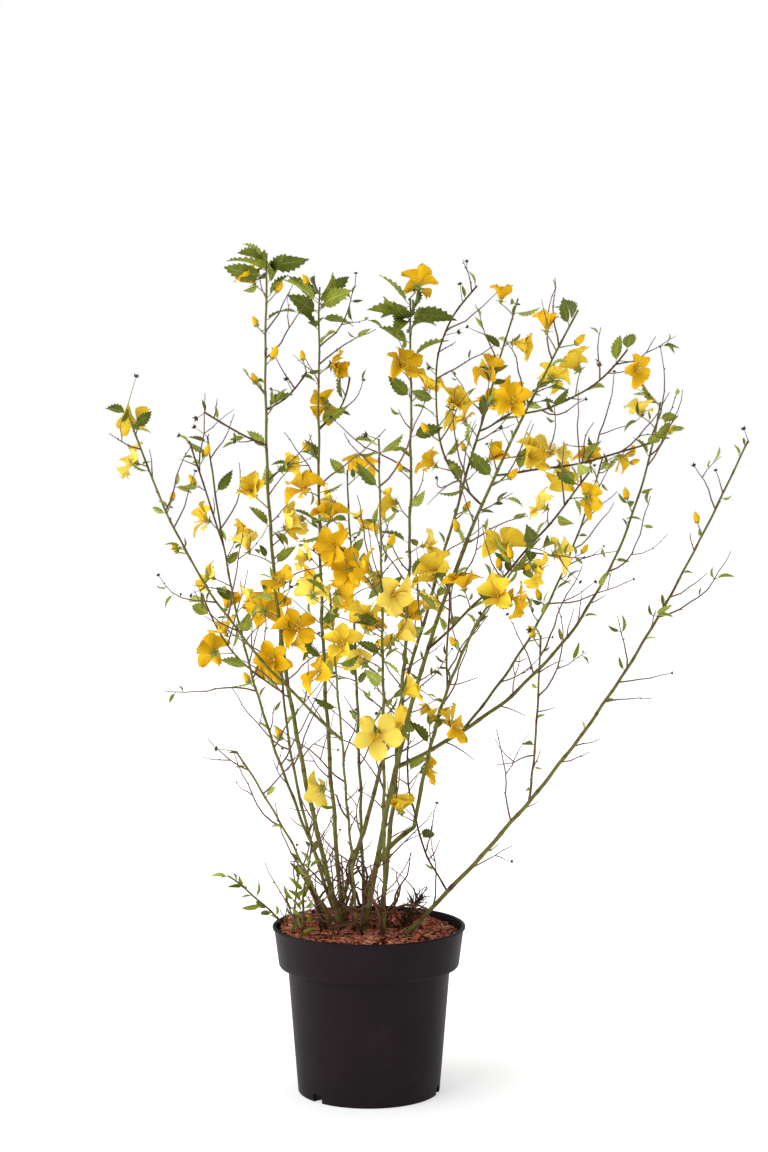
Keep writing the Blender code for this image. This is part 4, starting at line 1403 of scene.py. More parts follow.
def model_stamens():
    """A tuft of 22 threads round a small heart, each with its anther. Sizes are real."""
    rng = random.Random("stamens")
    threads, tips = [], []
    start_clean()
    bpy.ops.mesh.primitive_uv_sphere_add(segments=4, ring_count=3, radius=0.0006)
    anther = taken(bpy.context.object, uv_from=False)
    start_clean()
    bpy.ops.mesh.primitive_uv_sphere_add(segments=10, ring_count=6, radius=0.0021)
    heart = bpy.context.object
    shape_points(heart, lambda p: Vector((p.x, p.y, p.z * 0.55)))
    threads.append(taken(heart, uv_from=False))
    for k in range(22):
        turn = math.tau * k / 22 + rng.uniform(-0.15, 0.15)
        lean = rng.uniform(0.2, 0.95)
        reach = rng.uniform(0.0055, 0.0088)
        out = Vector((math.cos(turn), math.sin(turn), 0))
        end = out * reach * math.sin(lean) + Vector((0, 0, reach * math.cos(lean)))
        threads.append(strand([out * 0.0008, end * 0.6 + out * 0.0006, end], [0.00021, 0.00018, 0.00013], 3))
        tips.append(placed(anther, Matrix.Translation(end)))
    return merged(threads), merged(tips)


def model_calyx():
    """A green cup with five pointed lobes under the petals. Sizes are real."""
    start_clean()
    bpy.ops.mesh.primitive_cone_add(vertices=10, radius1=0.0008, radius2=0.0024, depth=0.0032, end_fill_type="NGON")
    cup = bpy.context.object
    shape_points(cup, lambda p: p + Vector((0, 0, -0.0026)))
    parts = [taken(cup, uv_from=False)]
    for k in range(PETALS):
        start_clean()
        bpy.ops.mesh.primitive_grid_add(x_subdivisions=2, y_subdivisions=3, size=2)
        lobe = bpy.context.object

        def move(p):
            along = (p.y + 1) / 2
            wide = 0.0019 * (1 - along**1.6)
            return Vector((p.x * wide, 0.0018 + along * 0.0052, -0.0014 + 0.0008 * along + abs(p.x) * 0.0003))

        shape_points(lobe, move)
        parts.append(placed(taken(lobe, uv_from=False), Matrix.Rotation(math.tau * k / PETALS, 4, "Z")))
    return merged(parts)


def model_bud():
    """A closed flower bud one unit long along Z, its petals wound round each other, and its calyx."""
    start_clean()
    bpy.ops.mesh.primitive_uv_sphere_add(segments=10, ring_count=8, radius=0.5)
    body = bpy.context.object

    def move(p):
        share = p.z + 0.5
        angle = math.atan2(p.y, p.x) + share * 1.7
        swell = 0.29 * math.sin(math.pi * min(1, share * 0.90 + 0.09)) ** 0.7 * (1.10 - 0.42 * share)
        fold = 1 + 0.11 * math.cos(5 * (angle - share * 1.2))
        return Vector((math.cos(angle) * swell * fold, math.sin(angle) * swell * fold, share))

    shape_points(body, move)
    bud = taken(body)
    lobes = []
    for k in range(PETALS):
        start_clean()
        bpy.ops.mesh.primitive_grid_add(x_subdivisions=2, y_subdivisions=4, size=2)
        lobe = bpy.context.object

        def hug(p):
            along = (p.y + 1) / 2
            out = 0.07 + 0.20 * math.sin(math.pi * min(1, along * 0.55 + 0.05))
            return Vector((p.x * 0.10 * (1 - along**2), out, along * 0.26 - 0.04))

        shape_points(lobe, hug)
        lobes.append(placed(taken(lobe, uv_from=False), Matrix.Rotation(math.tau * k / PETALS, 4, "Z")))
    start_clean()
    bpy.ops.mesh.primitive_cone_add(vertices=8, radius1=0.05, radius2=0.15, depth=0.16, location=(0, 0, -0.02))
    bpy.ops.object.transform_apply(location=True)
    lobes.append(taken(bpy.context.object, uv_from=False))
    return bud, merged(lobes)


def bud_way(flower):
    """The way a bud stands: on from its shoot, and up."""
    return (flower.way * 0.75 + Vector((0, 0, 0.65))).normalized()


def model_seed_head():
    """A dry seed head one unit long along Z: a dark knob in a star of five curled scales."""
    start_clean()
    bpy.ops.mesh.primitive_ico_sphere_add(subdivisions=2, radius=0.34)
    knob = bpy.context.object
    shape_points(knob, lambda p: Vector((p.x, p.y, p.z * 0.8 + 0.32)) * (1 + 0.22 * noise.noise(p * 9)))
    parts = [taken(knob, uv_from=False)]
    for k in range(PETALS):
        start_clean()
        bpy.ops.mesh.primitive_grid_add(x_subdivisions=2, y_subdivisions=3, size=2)
        scale = bpy.context.object

        def move(p):
            along = (p.y + 1) / 2
            return Vector((p.x * 0.26 * (1 - along**1.5), 0.12 + 0.62 * along, 0.10 + 0.5 * along**2))

        shape_points(scale, move)
        parts.append(placed(taken(scale, uv_from=False), Matrix.Rotation(math.tau * k / PETALS, 4, "Z")))
    return merged(parts)


def upright_on(point, way, size):
    """The matrix that stands a Z-up model on a point, along a way."""
    x = way.orthogonal().normalized()
    return Matrix.Translation(point) @ Matrix((x, way.cross(x), way)).transposed().to_4x4() @ Matrix.Scale(size, 4)


# Pot and soil

def pot_outline():
    """The pot's outline, (radius, height) from its foot up the outside, over the rim and down the inside."""
    return rounded((
        (BASE_RADIUS - EDGE_ROUND, 0, 0),
        (BASE_RADIUS, 0, CORNER_ROUND),
        (BODY_TOP_RADIUS, BAND_FOOT, CORNER_ROUND),
        (BAND_FOOT_RADIUS, BAND_FOOT, EDGE_ROUND),
        (NECK_RADIUS, POT_HEIGHT - LIP, CORNER_ROUND / 2),
        (RIM_RADIUS, POT_HEIGHT - LIP, CORNER_ROUND),
        (RIM_RADIUS, POT_HEIGHT, CORNER_ROUND),
        (NECK_RADIUS - WALL, POT_HEIGHT, CORNER_ROUND),
        (BAND_FOOT_RADIUS - WALL, BAND_FOOT + EDGE_ROUND, CORNER_ROUND),
        (BODY_TOP_RADIUS - WALL, BAND_FOOT - EDGE_ROUND, CORNER_ROUND),
        (BASE_RADIUS - WALL, FLOOR, 0),
    ))


def rounded(corners, steps=4):
    """An outline through corners, each (radius, height, reach of its round), with the round ones drawn as curves."""
    line = []
    for before, here, after in zip(corners[:1] + corners, corners, corners[1:] + corners[-1:]):
        corner, reach = Vector(here[:2]), here[2]
        if not reach:
            line.append(corner)
            continue
        first = corner + (Vector(before[:2]) - corner).normalized() * reach
        last = corner + (Vector(after[:2]) - corner).normalized() * reach
        for i in range(steps + 1):
            line.append(first.lerp(corner, i / steps).lerp(corner.lerp(last, i / steps), i / steps))
    return line


def model_chip(seed, widths):
    """A flat splinter of bark one unit long, with broken edges."""
    rng = random.Random(f"chip {seed}")
    start_clean()
    bpy.ops.mesh.primitive_cube_add(size=1)
    chip = bpy.context.object
    bpy.ops.object.mode_set(mode="EDIT")
    bpy.ops.mesh.select_all(action="SELECT")
    bpy.ops.mesh.bevel(offset=0.12, segments=1)
    bpy.ops.object.mode_set(mode="OBJECT")
    wide = rng.uniform(*widths)
    thick = min(wide * 0.6, rng.uniform(0.06, 0.14))
    shape_points(chip, lambda p: Vector((
        p.x + rng.uniform(-0.12, 0.12),
        p.y * wide * (1 - 0.4 * p.x) + rng.uniform(-0.2, 0.2) * wide,
        p.z * thick + 0.10 * p.x * p.x + rng.uniform(-0.2, 0.2) * thick,
    )))
    return taken(chip, uv_from=False)


def soil_height(x, y):
    """How high the mulch lies: lumpy, higher round the canes, and piled against the rim on one side."""
    out = math.hypot(x, y) / SOIL_RADIUS
    mound = 0.0035 * math.exp(-((x + 0.005) ** 2 + y * y) / 0.0022)
    pile = 0.0078 * out**3 * max(0.0, math.cos(math.atan2(y, x) - math.radians(PILE_HEADING)))
    return SOIL_TOP + 0.0014 + mound + pile + 0.0024 * noise.noise(Vector((x * 45, y * 45, 3.1)))


def scattered(count, models, sizes, key, flat, low=0.0, thin=0.0):
    """Copies of models lying over the soil, each turned at random, with a share left out round the canes' feet.
    Where the lighter chips are left out, the ground is darker: partly bare dark soil between the feet, partly painted
    shade under the canes.
    """
    rng = random.Random(key)
    copies = []
    for k in range(count):
        size = rng.uniform(*sizes) * (1.4 if rng.random() < 0.1 else 1)
        radius = (SOIL_RADIUS - size * 0.55) * math.sqrt(rng.random())
        angle = rng.uniform(0, math.tau)
        x, y = radius * math.cos(angle), radius * math.sin(angle)
        # painted shade: lighter chips are left out round the canes' feet, so the dark chips and the dark bed show there
        if rng.random() < thin * math.exp(-((radius / FOOT_SHADE) ** 2)):
            continue
        turn = (
            Matrix.Translation((x, y, soil_height(x, y) + low + rng.uniform(-0.0012, 0.0022)))
            @ Matrix.Rotation(rng.uniform(0, math.tau), 4, "Z")
            @ Matrix.Rotation(rng.gauss(0, flat), 4, "Y")
            @ Matrix.Rotation(rng.gauss(0, flat), 4, "X")
            @ Matrix.Scale(size, 4)
        )
        copies.append(placed(rng.choice(models), turn))
    return copies


def model_fibre(seed):
    """A curved thread of coir one unit long."""
    rng = random.Random(f"fibre {seed}")
    line = [Vector((-0.5, 0, 0))]
    way = Vector((1, rng.uniform(-0.5, 0.5), rng.uniform(0, 0.4))).normalized()
    for k in range(5):
        line.append(line[-1] + way * 0.2)
        way = (way + Vector((0, rng.uniform(-0.45, 0.45), rng.uniform(-0.35, 0.2)))).normalized()
    return strand(line, [0.018, 0.022, 0.02, 0.018, 0.014, 0.008], 3)


# Settings

def colour_setting(name, description, default):
    return bpy.props.FloatVectorProperty(
        name=name, description=description, subtype="COLOR", size=3, min=0, max=1, default=default
    )


def share_setting(name, description, default):
    return bpy.props.FloatProperty(name=name, description=description, subtype="FACTOR", min=0, max=1, default=default)


class KerriaPot(bpy.types.PropertyGroup):
    """Settings of the nursery pot."""

    colour: colour_setting("Plastic", "Colour of the moulded pot", (0.0146, 0.0104, 0.0128))
    roughness: share_setting("Roughness", "How matt the plastic is", 0.45)
    sides: bpy.props.IntProperty(name="Sides", description="Sides of the turned pot", min=32, max=256, default=144)


class KerriaSoil(bpy.types.PropertyGroup):
    """Settings of the soil and its mulch."""

    earth: colour_setting("Soil", "Colour of the soil under the mulch", (0.034, 0.013, 0.008))
    roots: colour_setting("Root ball", "Colour of the root ball in the drain notches", (0.014, 0.010, 0.008))
    bark: colour_setting("Bark", "Colour of most bark chips", (0.400, 0.095, 0.042))
    straw: colour_setting("Pale chips", "Colour of the palest chips and fibres", (0.840, 0.350, 0.225))
    chips: bpy.props.IntProperty(name="Chips", description="Number of bark chips", min=0, max=20000, default=CHIPS)


class KerriaCanes(bpy.types.PropertyGroup):
    """Settings of canes and twigs."""

    green: colour_setting("Green bark", "Colour of young bark", (0.140, 0.139, 0.031))
    brown: colour_setting("Brown bark", "Colour of bark at the foot and at marks", (0.092, 0.041, 0.024))
    twig: colour_setting("Twigs", "Colour of the finest twigs", (0.125, 0.060, 0.034))
    roughness: share_setting("Roughness", "How matt the bark is", 0.5)


class KerriaLeaves(bpy.types.PropertyGroup):
    """Settings of the leaves."""

    dark: colour_setting("Dark leaves", "Colour of the older leaves", (0.108, 0.134, 0.016))
    fresh: colour_setting("Fresh leaves", "Colour of most leaves", (0.208, 0.236, 0.028))
    pale: colour_setting("Pale leaves", "Colour of the youngest leaves", (0.330, 0.380, 0.070))


class KerriaFlowers(bpy.types.PropertyGroup):
    """Settings of blooms, buds and seed heads."""

    gold: colour_setting("Golden petals", "Colour of most petals", (0.760, 0.450, 0.006))
    bright: colour_setting("Bright petals", "Colour of the brightest petals", (0.830, 0.580, 0.036))
    pale: colour_setting("Pale petals", "Colour of the palest petals", (0.860, 0.655, 0.092))
    foot: colour_setting("Petal foot", "Colour at the foot of a petal", (0.600, 0.300, 0.006))
    head: colour_setting("Seed heads", "Colour of dry seed heads", (0.045, 0.027, 0.018))


class KerriaStage(bpy.types.PropertyGroup):
    """Settings of floor, light and camera."""

    floor: colour_setting("Floor", "Colour of the floor", (0.92, 0.92, 0.92))
    light: bpy.props.FloatProperty(name="Light", description="Power of the main light", subtype="POWER", min=0, default=24)
    sky: bpy.props.FloatProperty(name="Sky", description="Strength of the white surroundings", min=0, default=1.0)
    distance: bpy.props.FloatProperty(name="Distance", description="Camera to pot", subtype="DISTANCE", default=2.2)
    height: bpy.props.FloatProperty(name="Height", description="Camera over floor", subtype="DISTANCE", default=0.6243)


# Operators

class KERRIA_OT_pot(bpy.types.Operator):
    """Turns the pot: tapered body, ledge, broad band, rolled rim and drain notches."""

    bl_idname = "kerria.pot"
    bl_label = "Pot"

    def execute(self, context):
        settings = context.scene.kerria_pot
        start_clean()
        profile = pot_outline()
        bpy.ops.mesh.primitive_circle_add(vertices=settings.sides, radius=profile[0][0], fill_type="NGON")
        pot = context.object
        bpy.ops.object.mode_set(mode="EDIT")
        bpy.ops.mesh.select_all(action="SELECT")
        bpy.ops.mesh.flip_normals()
        for (before, low), (radius, height) in zip(profile, profile[1:]):
            bpy.ops.mesh.select_all(action="DESELECT")
            work = bmesh.from_edit_mesh(pot.data)
            for edge in work.edges:
                edge.select_set(edge.is_boundary)
            work.select_flush(True)
            bmesh.update_edit_mesh(pot.data)
            bpy.ops.mesh.extrude_edges_move(TRANSFORM_OT_translate={"value": (0, 0, height - low)})
            share = radius / before
            bpy.ops.transform.resize(value=(share, share, 1), center_override=(0, 0, height))
        bpy.ops.mesh.select_all(action="DESELECT")
        work = bmesh.from_edit_mesh(pot.data)
        for edge in work.edges:
            edge.select_set(edge.is_boundary)
        work.select_flush(True)
        bmesh.update_edit_mesh(pot.data)
        bpy.ops.mesh.edge_face_add()
        bpy.ops.mesh.select_all(action="SELECT")
        bpy.ops.mesh.normals_make_consistent(inside=False)
        bpy.ops.object.mode_set(mode="OBJECT")
        pot.name = pot.data.name = "nursery_pot"
        for degrees in NOTCH_ANGLES:
            self.cut_notch(context, pot, math.radians(degrees))
        start_clean()
        pot.select_set(True)
        context.view_layer.objects.active = pot
        bpy.ops.object.shade_smooth_by_angle(angle=math.radians(32))
        pot.data.materials.clear()
        pot.data.materials.append(self.plastic(settings))
        belongs(pot, ["pot"])
        return {"FINISHED"}

    def cut_notch(self, context, pot, angle):
        """A wedge with soft corners taken out of the lower edge."""
        start_clean()
        bpy.ops.mesh.primitive_cube_add(size=1)
        wedge = context.object
        wedge.scale = NOTCH_SIZE
        wedge.rotation_euler = (0, math.radians(NOTCH_TILT), angle)
        wedge.location = (BASE_RADIUS * math.cos(angle), BASE_RADIUS * math.sin(angle), 0)
        bpy.ops.object.transform_apply(location=True, rotation=True, scale=True)
        bpy.ops.object.mode_set(mode="EDIT")
        bpy.ops.mesh.select_all(action="SELECT")
        bpy.ops.mesh.bevel(offset=CORNER_ROUND, segments=3)
        bpy.ops.object.mode_set(mode="OBJECT")
        start_clean()
        pot.select_set(True)
        context.view_layer.objects.active = pot
        cut = pot.modifiers.new("notch", "BOOLEAN")
        cut.operation = "DIFFERENCE"
        cut.object = wedge
        bpy.ops.object.modifier_apply(modifier=cut.name)
        bpy.data.objects.remove(wedge, do_unlink=True)

    def plastic(self, settings):
        """Dark moulded plastic with a fine grain, faint rubs and a little dust."""
        made, tree, shader = shader_of("moulded_plastic", settings.roughness, specular=0.04)
        place = tree.nodes.new("ShaderNodeTexCoord")
        cloud = noise_node(tree, place, "Object", 22.0, 5.0, 0.65)
        rubs = noise_node(tree, place, "Object", 60.0, 4.0, 0.7, (1, 1, 0.12))
        grain = noise_node(tree, place, "Object", 1400.0, 2.0, 0.5)
        ramp = ramp_node(tree, cloud, "Fac", [
            (0.30, tone(settings.colour, 0.85)),
            (0.55, tone(settings.colour, 1.0)),
            (0.80, tone(settings.colour, 1.5, 0.04)),
        ])
        link(tree, ramp, "Color", shader, "Base Color")
        vary_roughness(tree, rubs, "Fac", settings.roughness - 0.1, settings.roughness + 0.12, shader)
        bump_node(tree, grain, "Fac", 0.12, 0.0002, shader)
        return made


class KERRIA_OT_soil(bpy.types.Operator):
    """Lays the mulch of bark chips and fibres over the soil."""

    bl_idname = "kerria.soil"
    bl_label = "Soil and mulch"

    def execute(self, context):
        settings = context.scene.kerria_soil
        earth = mottled("damp_soil", settings.earth, 120, 0.95, 1.0, 0.002, 0.4, specular=0.04)
        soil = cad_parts["soil"]
        soil.data.materials.clear()
        soil.data.materials.append(mottled("root_ball", settings.roots, 120, 0.95, 1.0, 0.002, 0.4, specular=0.1))
        self.lay_bed(context, earth)
        chips = [model_chip(seed, (0.14, 0.34)) for seed in range(7)]
        shreds = [model_chip(seed, (0.07, 0.15)) for seed in range(7, 12)]
        # Each tone's last number is the chance that its chips are left out round the canes' feet. The lighter tones
        # thin out there, leaving the ground darker: partly bare dark soil, partly painted shade under the canes.
        tones = (
            ("bark_chips_dark", tone(settings.bark, 0.145), 0.36, 0.0),
            ("bark_chips_red", tone(settings.bark, 1.15), 0.34, 0.75),
            ("bark_chips_brown", tone(settings.straw, 0.75), 0.20, 0.85),
            ("bark_chips_pale", tone(settings.straw, 1.35), 0.10, 0.95),
        )
        for name, colour, share, thin in tones:
            copies = scattered(int(settings.chips * share), chips, (0.0040, 0.0110), name, 0.4, 0.0, thin)
            copies += scattered(int(SHREDS * share), shreds, (0.006, 0.017), name + " shreds", 0.3, 0.0008, thin)
            skin = mottled(name, colour, 420, 0.85, 0.8, 0.0005, 0.4, specular=0.04)
            piece(name, copies, skin, smooth=False)
        fibres = [model_fibre(seed) for seed in range(6)]
        copies = scattered(FIBRES, fibres, (0.005, 0.016), "coir_fibres", 0.25, 0.0016)
        piece("coir_fibres", copies, mottled("coir_fibres", settings.straw, 500, 0.8, spread=0.4))
        return {"FINISHED"}

    def lay_bed(self, context, earth):
        """A lumpy bed under the chips, over the soil's flat top."""
        start_clean()
        radius = SOIL_RADIUS - 0.0004
        bpy.ops.mesh.primitive_cylinder_add(vertices=96, radius=radius, depth=0.004, location=(0, 0, SOIL_TOP - 0.0015))
        bpy.ops.object.transform_apply(location=True)
        bed = context.object
        bed.name = bed.data.name = "mulch_bed"
        bpy.ops.object.mode_set(mode="EDIT")
        bpy.ops.mesh.select_all(action="DESELECT")
        work = bmesh.from_edit_mesh(bed.data)
        for face in work.faces:
            face.select_set(face.normal.z > 0.9)
        bmesh.update_edit_mesh(bed.data)
        for ring in range(BED_RINGS):
            bpy.ops.mesh.inset(thickness=radius / (BED_RINGS + 1))
        bpy.ops.mesh.poke()
        bpy.ops.object.mode_set(mode="OBJECT")
        shape_points(bed, lambda p: Vector((p.x, p.y, soil_height(p.x, p.y))) if p.z > SOIL_TOP else p)
        bpy.ops.object.shade_smooth()
        bed.data.materials.append(earth)
        belongs(bed)


class KERRIA_OT_canes(bpy.types.Operator):
    """Grows the canes and boughs with their bark, nodes and dormant buds."""

    bl_idname = "kerria.canes"
    bl_label = "Canes"

    def execute(self, context):
        settings = context.scene.kerria_canes
        grown = plant()
        live = [stem for stem in STEMS if stem.name not in STUBS]
        for name, side_twigs, age, nodes in (
            ("green_canes", False, CANE_AGE, LIMBS),
            ("side_twigs", True, TWIG_AGE, MASSES),
        ):
            bark = cane_bark(name, settings.green, settings.brown, settings.roughness, age)
            chosen = [stem for stem in live if (not stem.bare and not in_soil(stem)) == side_twigs]
            piece(name, [stem_mesh(stem, grown, CANE_SIDES, BARK_RELIEF) for stem in chosen], bark, nodes)
        buds = mottled("bud_scales", settings.brown, 600, 0.6)
        bud = model_scale_bud()
        piece("dormant_buds", node_buds(grown, bud) + wisp_buds(grown, bud), buds)
        return {"FINISHED"}


class KERRIA_OT_stubs(bpy.types.Operator):
    """Makes the dead stubs of cut canes, with shreds of old bark round the foot."""

    bl_idname = "kerria.stubs"
    bl_label = "Dead stubs and old bark"

    def execute(self, context):
        settings = context.scene.kerria_canes
        grown = plant()
        stubs = [stem for stem in STEMS if stem.name in STUBS]
        dead = mottled("dead_wood", settings.brown, 260, 0.9, 0.9, 0.0008, 0.45, specular=0.2)
        piece("dead_stubs", [stem_mesh(stem, grown, 12, 0.16, cut=True) for stem in stubs], dead, STUBS)
        rng = random.Random("old bark")
        shreds = []
        feet = [stem for stem in STEMS if in_soil(stem) and stem.bare]
        for k in range(BARK_SHREDS):
            foot = rng.choice(stubs if k % 2 else feet)
            share = min(1, rng.uniform(*SHRED_ROOTS) / (foot.tip[2] - SOIL_TOP))
            aside = Vector((rng.uniform(-0.004, 0.004), rng.uniform(-0.004, 0.004), -0.002))
            root = grown.axis(foot.name, share) + aside
            way = (grown.direction(foot.name, share) + random_way(rng) * 0.8).normalized()
            line = [root]
            reach = rng.uniform(*SHRED_LENGTHS)
            for step in range(5):
                line.append(line[-1] + way * reach / 5)
                way = (way + random_way(rng) * 0.5).normalized()
            shreds.append(strand(line, [girth * rng.uniform(0.5, 1) for girth in SHRED_GIRTHS], 4))
        old = mottled("old_bark", tone(settings.brown, 0.8)[:3], 300, 0.9, 0.8, 0.0006, 0.5, specular=0.2)
        piece("old_bark_shreds", shreds + broom(grown, "dead_stub_right"), old)
        red = mottled("old_twigs", settings.twig, 260, 0.75, 0.5, 0.0005, 0.4, specular=0.15)
        piece("old_foot_twigs", foot_twigs(grown), red)
        return {"FINISHED"}


class KERRIA_OT_foliage(bpy.types.Operator):
    """Carries the canes on to flower stalks, fine twigs and leaves."""

    bl_idname = "kerria.foliage"
    bl_label = "Twigs and leaves"

    def execute(self, context):
        grown = plant()
        canes = context.scene.kerria_canes
        settings = context.scene.kerria_leaves
        green = mottled("young_stalks", tone(canes.green, 1.3)[:3], 260, 0.5)
        brown = mottled("fine_twigs", canes.twig, 260, 0.6)
        twigs = [strand(w.line, tapering(w.girth, len(w.line)), 5) for w in grown.wisps]
        piece("fine_twigs", twigs, brown, MASSES)
        leaves = all_leaves(grown, *leaf_models())
        stalks = flower_stalks(grown) + [stalk for number, blade, stalk in leaves]
        piece("flower_and_leaf_stalks", stalks, green, MASSES)
        for number, (name, colour) in enumerate((
            ("fresh_leaves", settings.fresh),
            ("dark_leaves", settings.dark),
            ("pale_leaves", settings.pale),
        )):
            blades = [blade for tone_number, blade, stalk in leaves if tone_number == number]
            piece(name, blades, leaf_skin(name, colour, 0.5), MASSES)
        return {"FINISHED"}


class KERRIA_OT_flowers(bpy.types.Operator):
    """Opens the blooms, and sets buds and dry seed heads on their stalks."""

    bl_idname = "kerria.flowers"
    bl_label = "Flowers"

    def execute(self, context):
        settings = context.scene.kerria_flowers
        leaves = context.scene.kerria_leaves
        grown = plant()
        blooms = [flower for flower in grown.flowers if flower.kind == "blooms"]
        petals = petal_models()
        tones = (
            ("golden_petals", settings.gold, 0.45),
            ("bright_petals", settings.bright, 0.8),
            ("pale_petals", settings.pale, 1.0),
        )
        shares = {flower.key: random.Random(flower.key + " tone").random() for flower in blooms}
        shares[FRONT_BLOOM] = 0.9
        low = 0.0
        for name, colour, high in tones:
            copies = [petal for f in blooms if low <= shares[f.key] < high for petal in petals_of(f, petals)]
            piece(name, copies, petal_skin(name, colour, settings.foot), MASSES)
            low = high
        threads, anthers = model_stamens()
        calyx = model_calyx()
        piece("stamens", [placed(threads, bloom_frame(f)) for f in blooms],
              mottled("stamens", settings.pale, 900, 0.6, spread=0.1), MASSES)
        piece("anthers", [placed(anthers, bloom_frame(f)) for f in blooms],
              mottled("anthers", settings.bright, 900, 0.7, spread=0.15), MASSES)
        bud, lobes = model_bud()
        buds = [flower for flower in grown.flowers if flower.kind == "buds"]
        sizes = [BUD_SIZE[1] * random.Random(f.key + " size").uniform(0.85, 1.12) for f in buds]
        seats = [upright_on(f.end - f.way * 0.0004, bud_way(f), size) for f, size in zip(buds, sizes)]
        piece("flower_buds", [placed(bud, seat) for seat in seats],
              petal_skin("bud_petals", settings.gold, settings.foot), MASSES)
        cups = [placed(calyx, bloom_frame(f)) for f in blooms] + [placed(lobes, seat) for seat in seats]
        piece("calyces", cups, mottled("calyx_green", leaves.fresh, 500, 0.55), MASSES)
        head = model_seed_head()
        heads = [placed(head, upright_on(f.end, f.way, HEAD_SIZE[1] * 1.1)) for f in grown.flowers if f.kind == "heads"]
        for wisp in grown.wisps:
            rng = random.Random(f"{wisp.stem.name} wisp head {wisp.number}")
            size = HEAD_SIZE[1] * rng.uniform(0.6, 1.0)
            end, way = at(wisp.line, 1)
            if rng.random() < WISP_HEADS and inside(end + way * size, 0.004):
                heads.append(placed(head, upright_on(end, way, size)))
        piece("dry_seed_heads", heads, mottled("dry_husk", settings.head, 700, 0.85), MASSES)
        return {"FINISHED"}


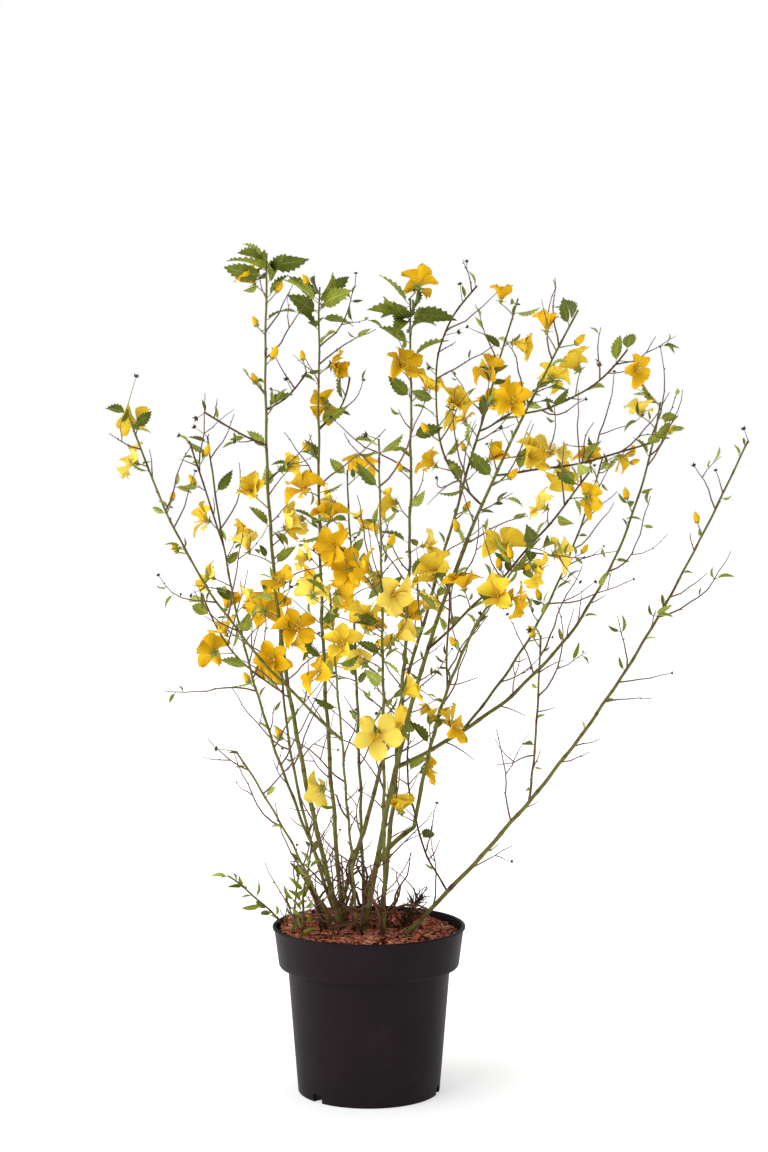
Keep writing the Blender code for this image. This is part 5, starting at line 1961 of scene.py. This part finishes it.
class KERRIA_OT_stage(bpy.types.Operator):
    """Sets the white floor, soft lights and camera."""

    bl_idname = "kerria.stage"
    bl_label = "Stage"

    def execute(self, context):
        settings = context.scene.kerria_stage
        start_clean()
        bpy.ops.mesh.primitive_plane_add(size=30)
        floor = context.object
        floor.name = "floor"
        floor.data.materials.append(self.paper(settings))
        context.scene.world = self.surroundings(settings)
        for name, place, size, power in (
            ("key_light", (-1.6, -1.9, 2.3), 1.6, settings.light),
            ("side_light", (-2.0, -0.4, 0.6), 1.6, settings.light * 1.0),
            ("fill_light", (1.9, -1.5, 1.3), 1.8, settings.light * 0.06),
            ("top_light", (0.0, 0.6, 2.6), 1.8, settings.light * 0.4),
        ):
            light = bpy.data.lights.new(name, "AREA")
            light.size = size
            light.energy = power
            lamp = bpy.data.objects.new(name, light)
            lamp.location = place
            lamp.rotation_euler = (Vector((0, 0, 0.45)) - Vector(place)).to_track_quat("-Z", "Y").to_euler()
            context.scene.collection.objects.link(lamp)
        camera = bpy.data.cameras.new("camera")
        camera.lens = 70.45
        camera.sensor_width = 36
        eye = bpy.data.objects.new("camera", camera)
        eye.location = (0.0148, -settings.distance, settings.height)
        eye.rotation_euler = (math.radians(90 - 3.03), 0, 0)
        context.scene.collection.objects.link(eye)
        context.scene.camera = eye
        context.scene.view_settings.view_transform = "Standard"
        return {"FINISHED"}

    def paper(self, settings):
        """White paper, lit from beneath further out, so that no edge shows between floor and background."""
        made, tree, shader = shader_of("floor_paper", 0.9, specular=0.1)
        shader.inputs["Base Color"].default_value = (*settings.floor, 1)
        shader.inputs["Emission Color"].default_value = (1, 1, 1, 1)
        place = tree.nodes.new("ShaderNodeTexCoord")
        away = tree.nodes.new("ShaderNodeVectorMath")
        away.operation = "LENGTH"
        link(tree, place, "Object", away, 0)
        glow = tree.nodes.new("ShaderNodeMapRange")
        glow.interpolation_type = "SMOOTHSTEP"
        glow.inputs["From Min"].default_value = 0.08
        glow.inputs["From Max"].default_value = 0.40
        glow.inputs["To Min"].default_value = 0.46
        glow.inputs["To Max"].default_value = 0.83
        link(tree, away, "Value", glow, "Value")
        link(tree, glow, "Result", shader, "Emission Strength")
        return made

    def surroundings(self, settings):
        """A white tent of light, dimmer overhead, where the lamps hang."""
        world = bpy.data.worlds.new("light_tent")
        world.use_nodes = True
        tree = world.node_tree
        background = tree.nodes["Background"]
        background.inputs["Color"].default_value = (1, 1, 1, 1)
        place = tree.nodes.new("ShaderNodeTexCoord")
        height = tree.nodes.new("ShaderNodeSeparateXYZ")
        link(tree, place, "Generated", height, "Vector")
        fade = tree.nodes.new("ShaderNodeMapRange")
        fade.interpolation_type = "SMOOTHSTEP"
        fade.inputs["From Min"].default_value = 0.22
        fade.inputs["From Max"].default_value = 0.55
        fade.inputs["To Min"].default_value = settings.sky
        fade.inputs["To Max"].default_value = settings.sky * 0.3
        link(tree, height, "Z", fade, "Value")
        link(tree, fade, "Result", background, "Strength")
        return world


class KERRIA_PT_panel(bpy.types.Panel):
    """Lists the plant's settings and the operators that build it."""

    bl_label = "Potted Japanese kerria"
    bl_idname = "KERRIA_PT_panel"
    bl_space_type = "VIEW_3D"
    bl_region_type = "UI"
    bl_category = "Kerria"

    def draw(self, context):
        for owner, group in SETTINGS.items():
            box = self.layout.box()
            for name in group.__annotations__:
                box.prop(getattr(context.scene, owner), name)
        for operator in OPERATORS:
            self.layout.operator(operator.bl_idname)


SETTINGS = {
    "kerria_pot": KerriaPot,
    "kerria_soil": KerriaSoil,
    "kerria_canes": KerriaCanes,
    "kerria_leaves": KerriaLeaves,
    "kerria_flowers": KerriaFlowers,
    "kerria_stage": KerriaStage,
}
OPERATORS = (
    KERRIA_OT_pot,
    KERRIA_OT_soil,
    KERRIA_OT_canes,
    KERRIA_OT_stubs,
    KERRIA_OT_foliage,
    KERRIA_OT_flowers,
    KERRIA_OT_stage,
)


def register():
    for owner, group in SETTINGS.items():
        bpy.utils.register_class(group)
        setattr(bpy.types.Scene, owner, bpy.props.PointerProperty(type=group))
    for operator in OPERATORS:
        bpy.utils.register_class(operator)
    bpy.utils.register_class(KERRIA_PT_panel)


def unregister():
    bpy.utils.unregister_class(KERRIA_PT_panel)
    for operator in reversed(OPERATORS):
        bpy.utils.unregister_class(operator)
    for owner, group in reversed(list(SETTINGS.items())):
        delattr(bpy.types.Scene, owner)
        bpy.utils.unregister_class(group)


def main():
    register()
    bpy.ops.kerria.pot()
    bpy.ops.kerria.soil()
    bpy.ops.kerria.canes()
    bpy.ops.kerria.stubs()
    bpy.ops.kerria.foliage()
    bpy.ops.kerria.flowers()
    bpy.ops.kerria.stage()
    bpy.context.view_layer.update()


if __name__ == "__main__":
    main()
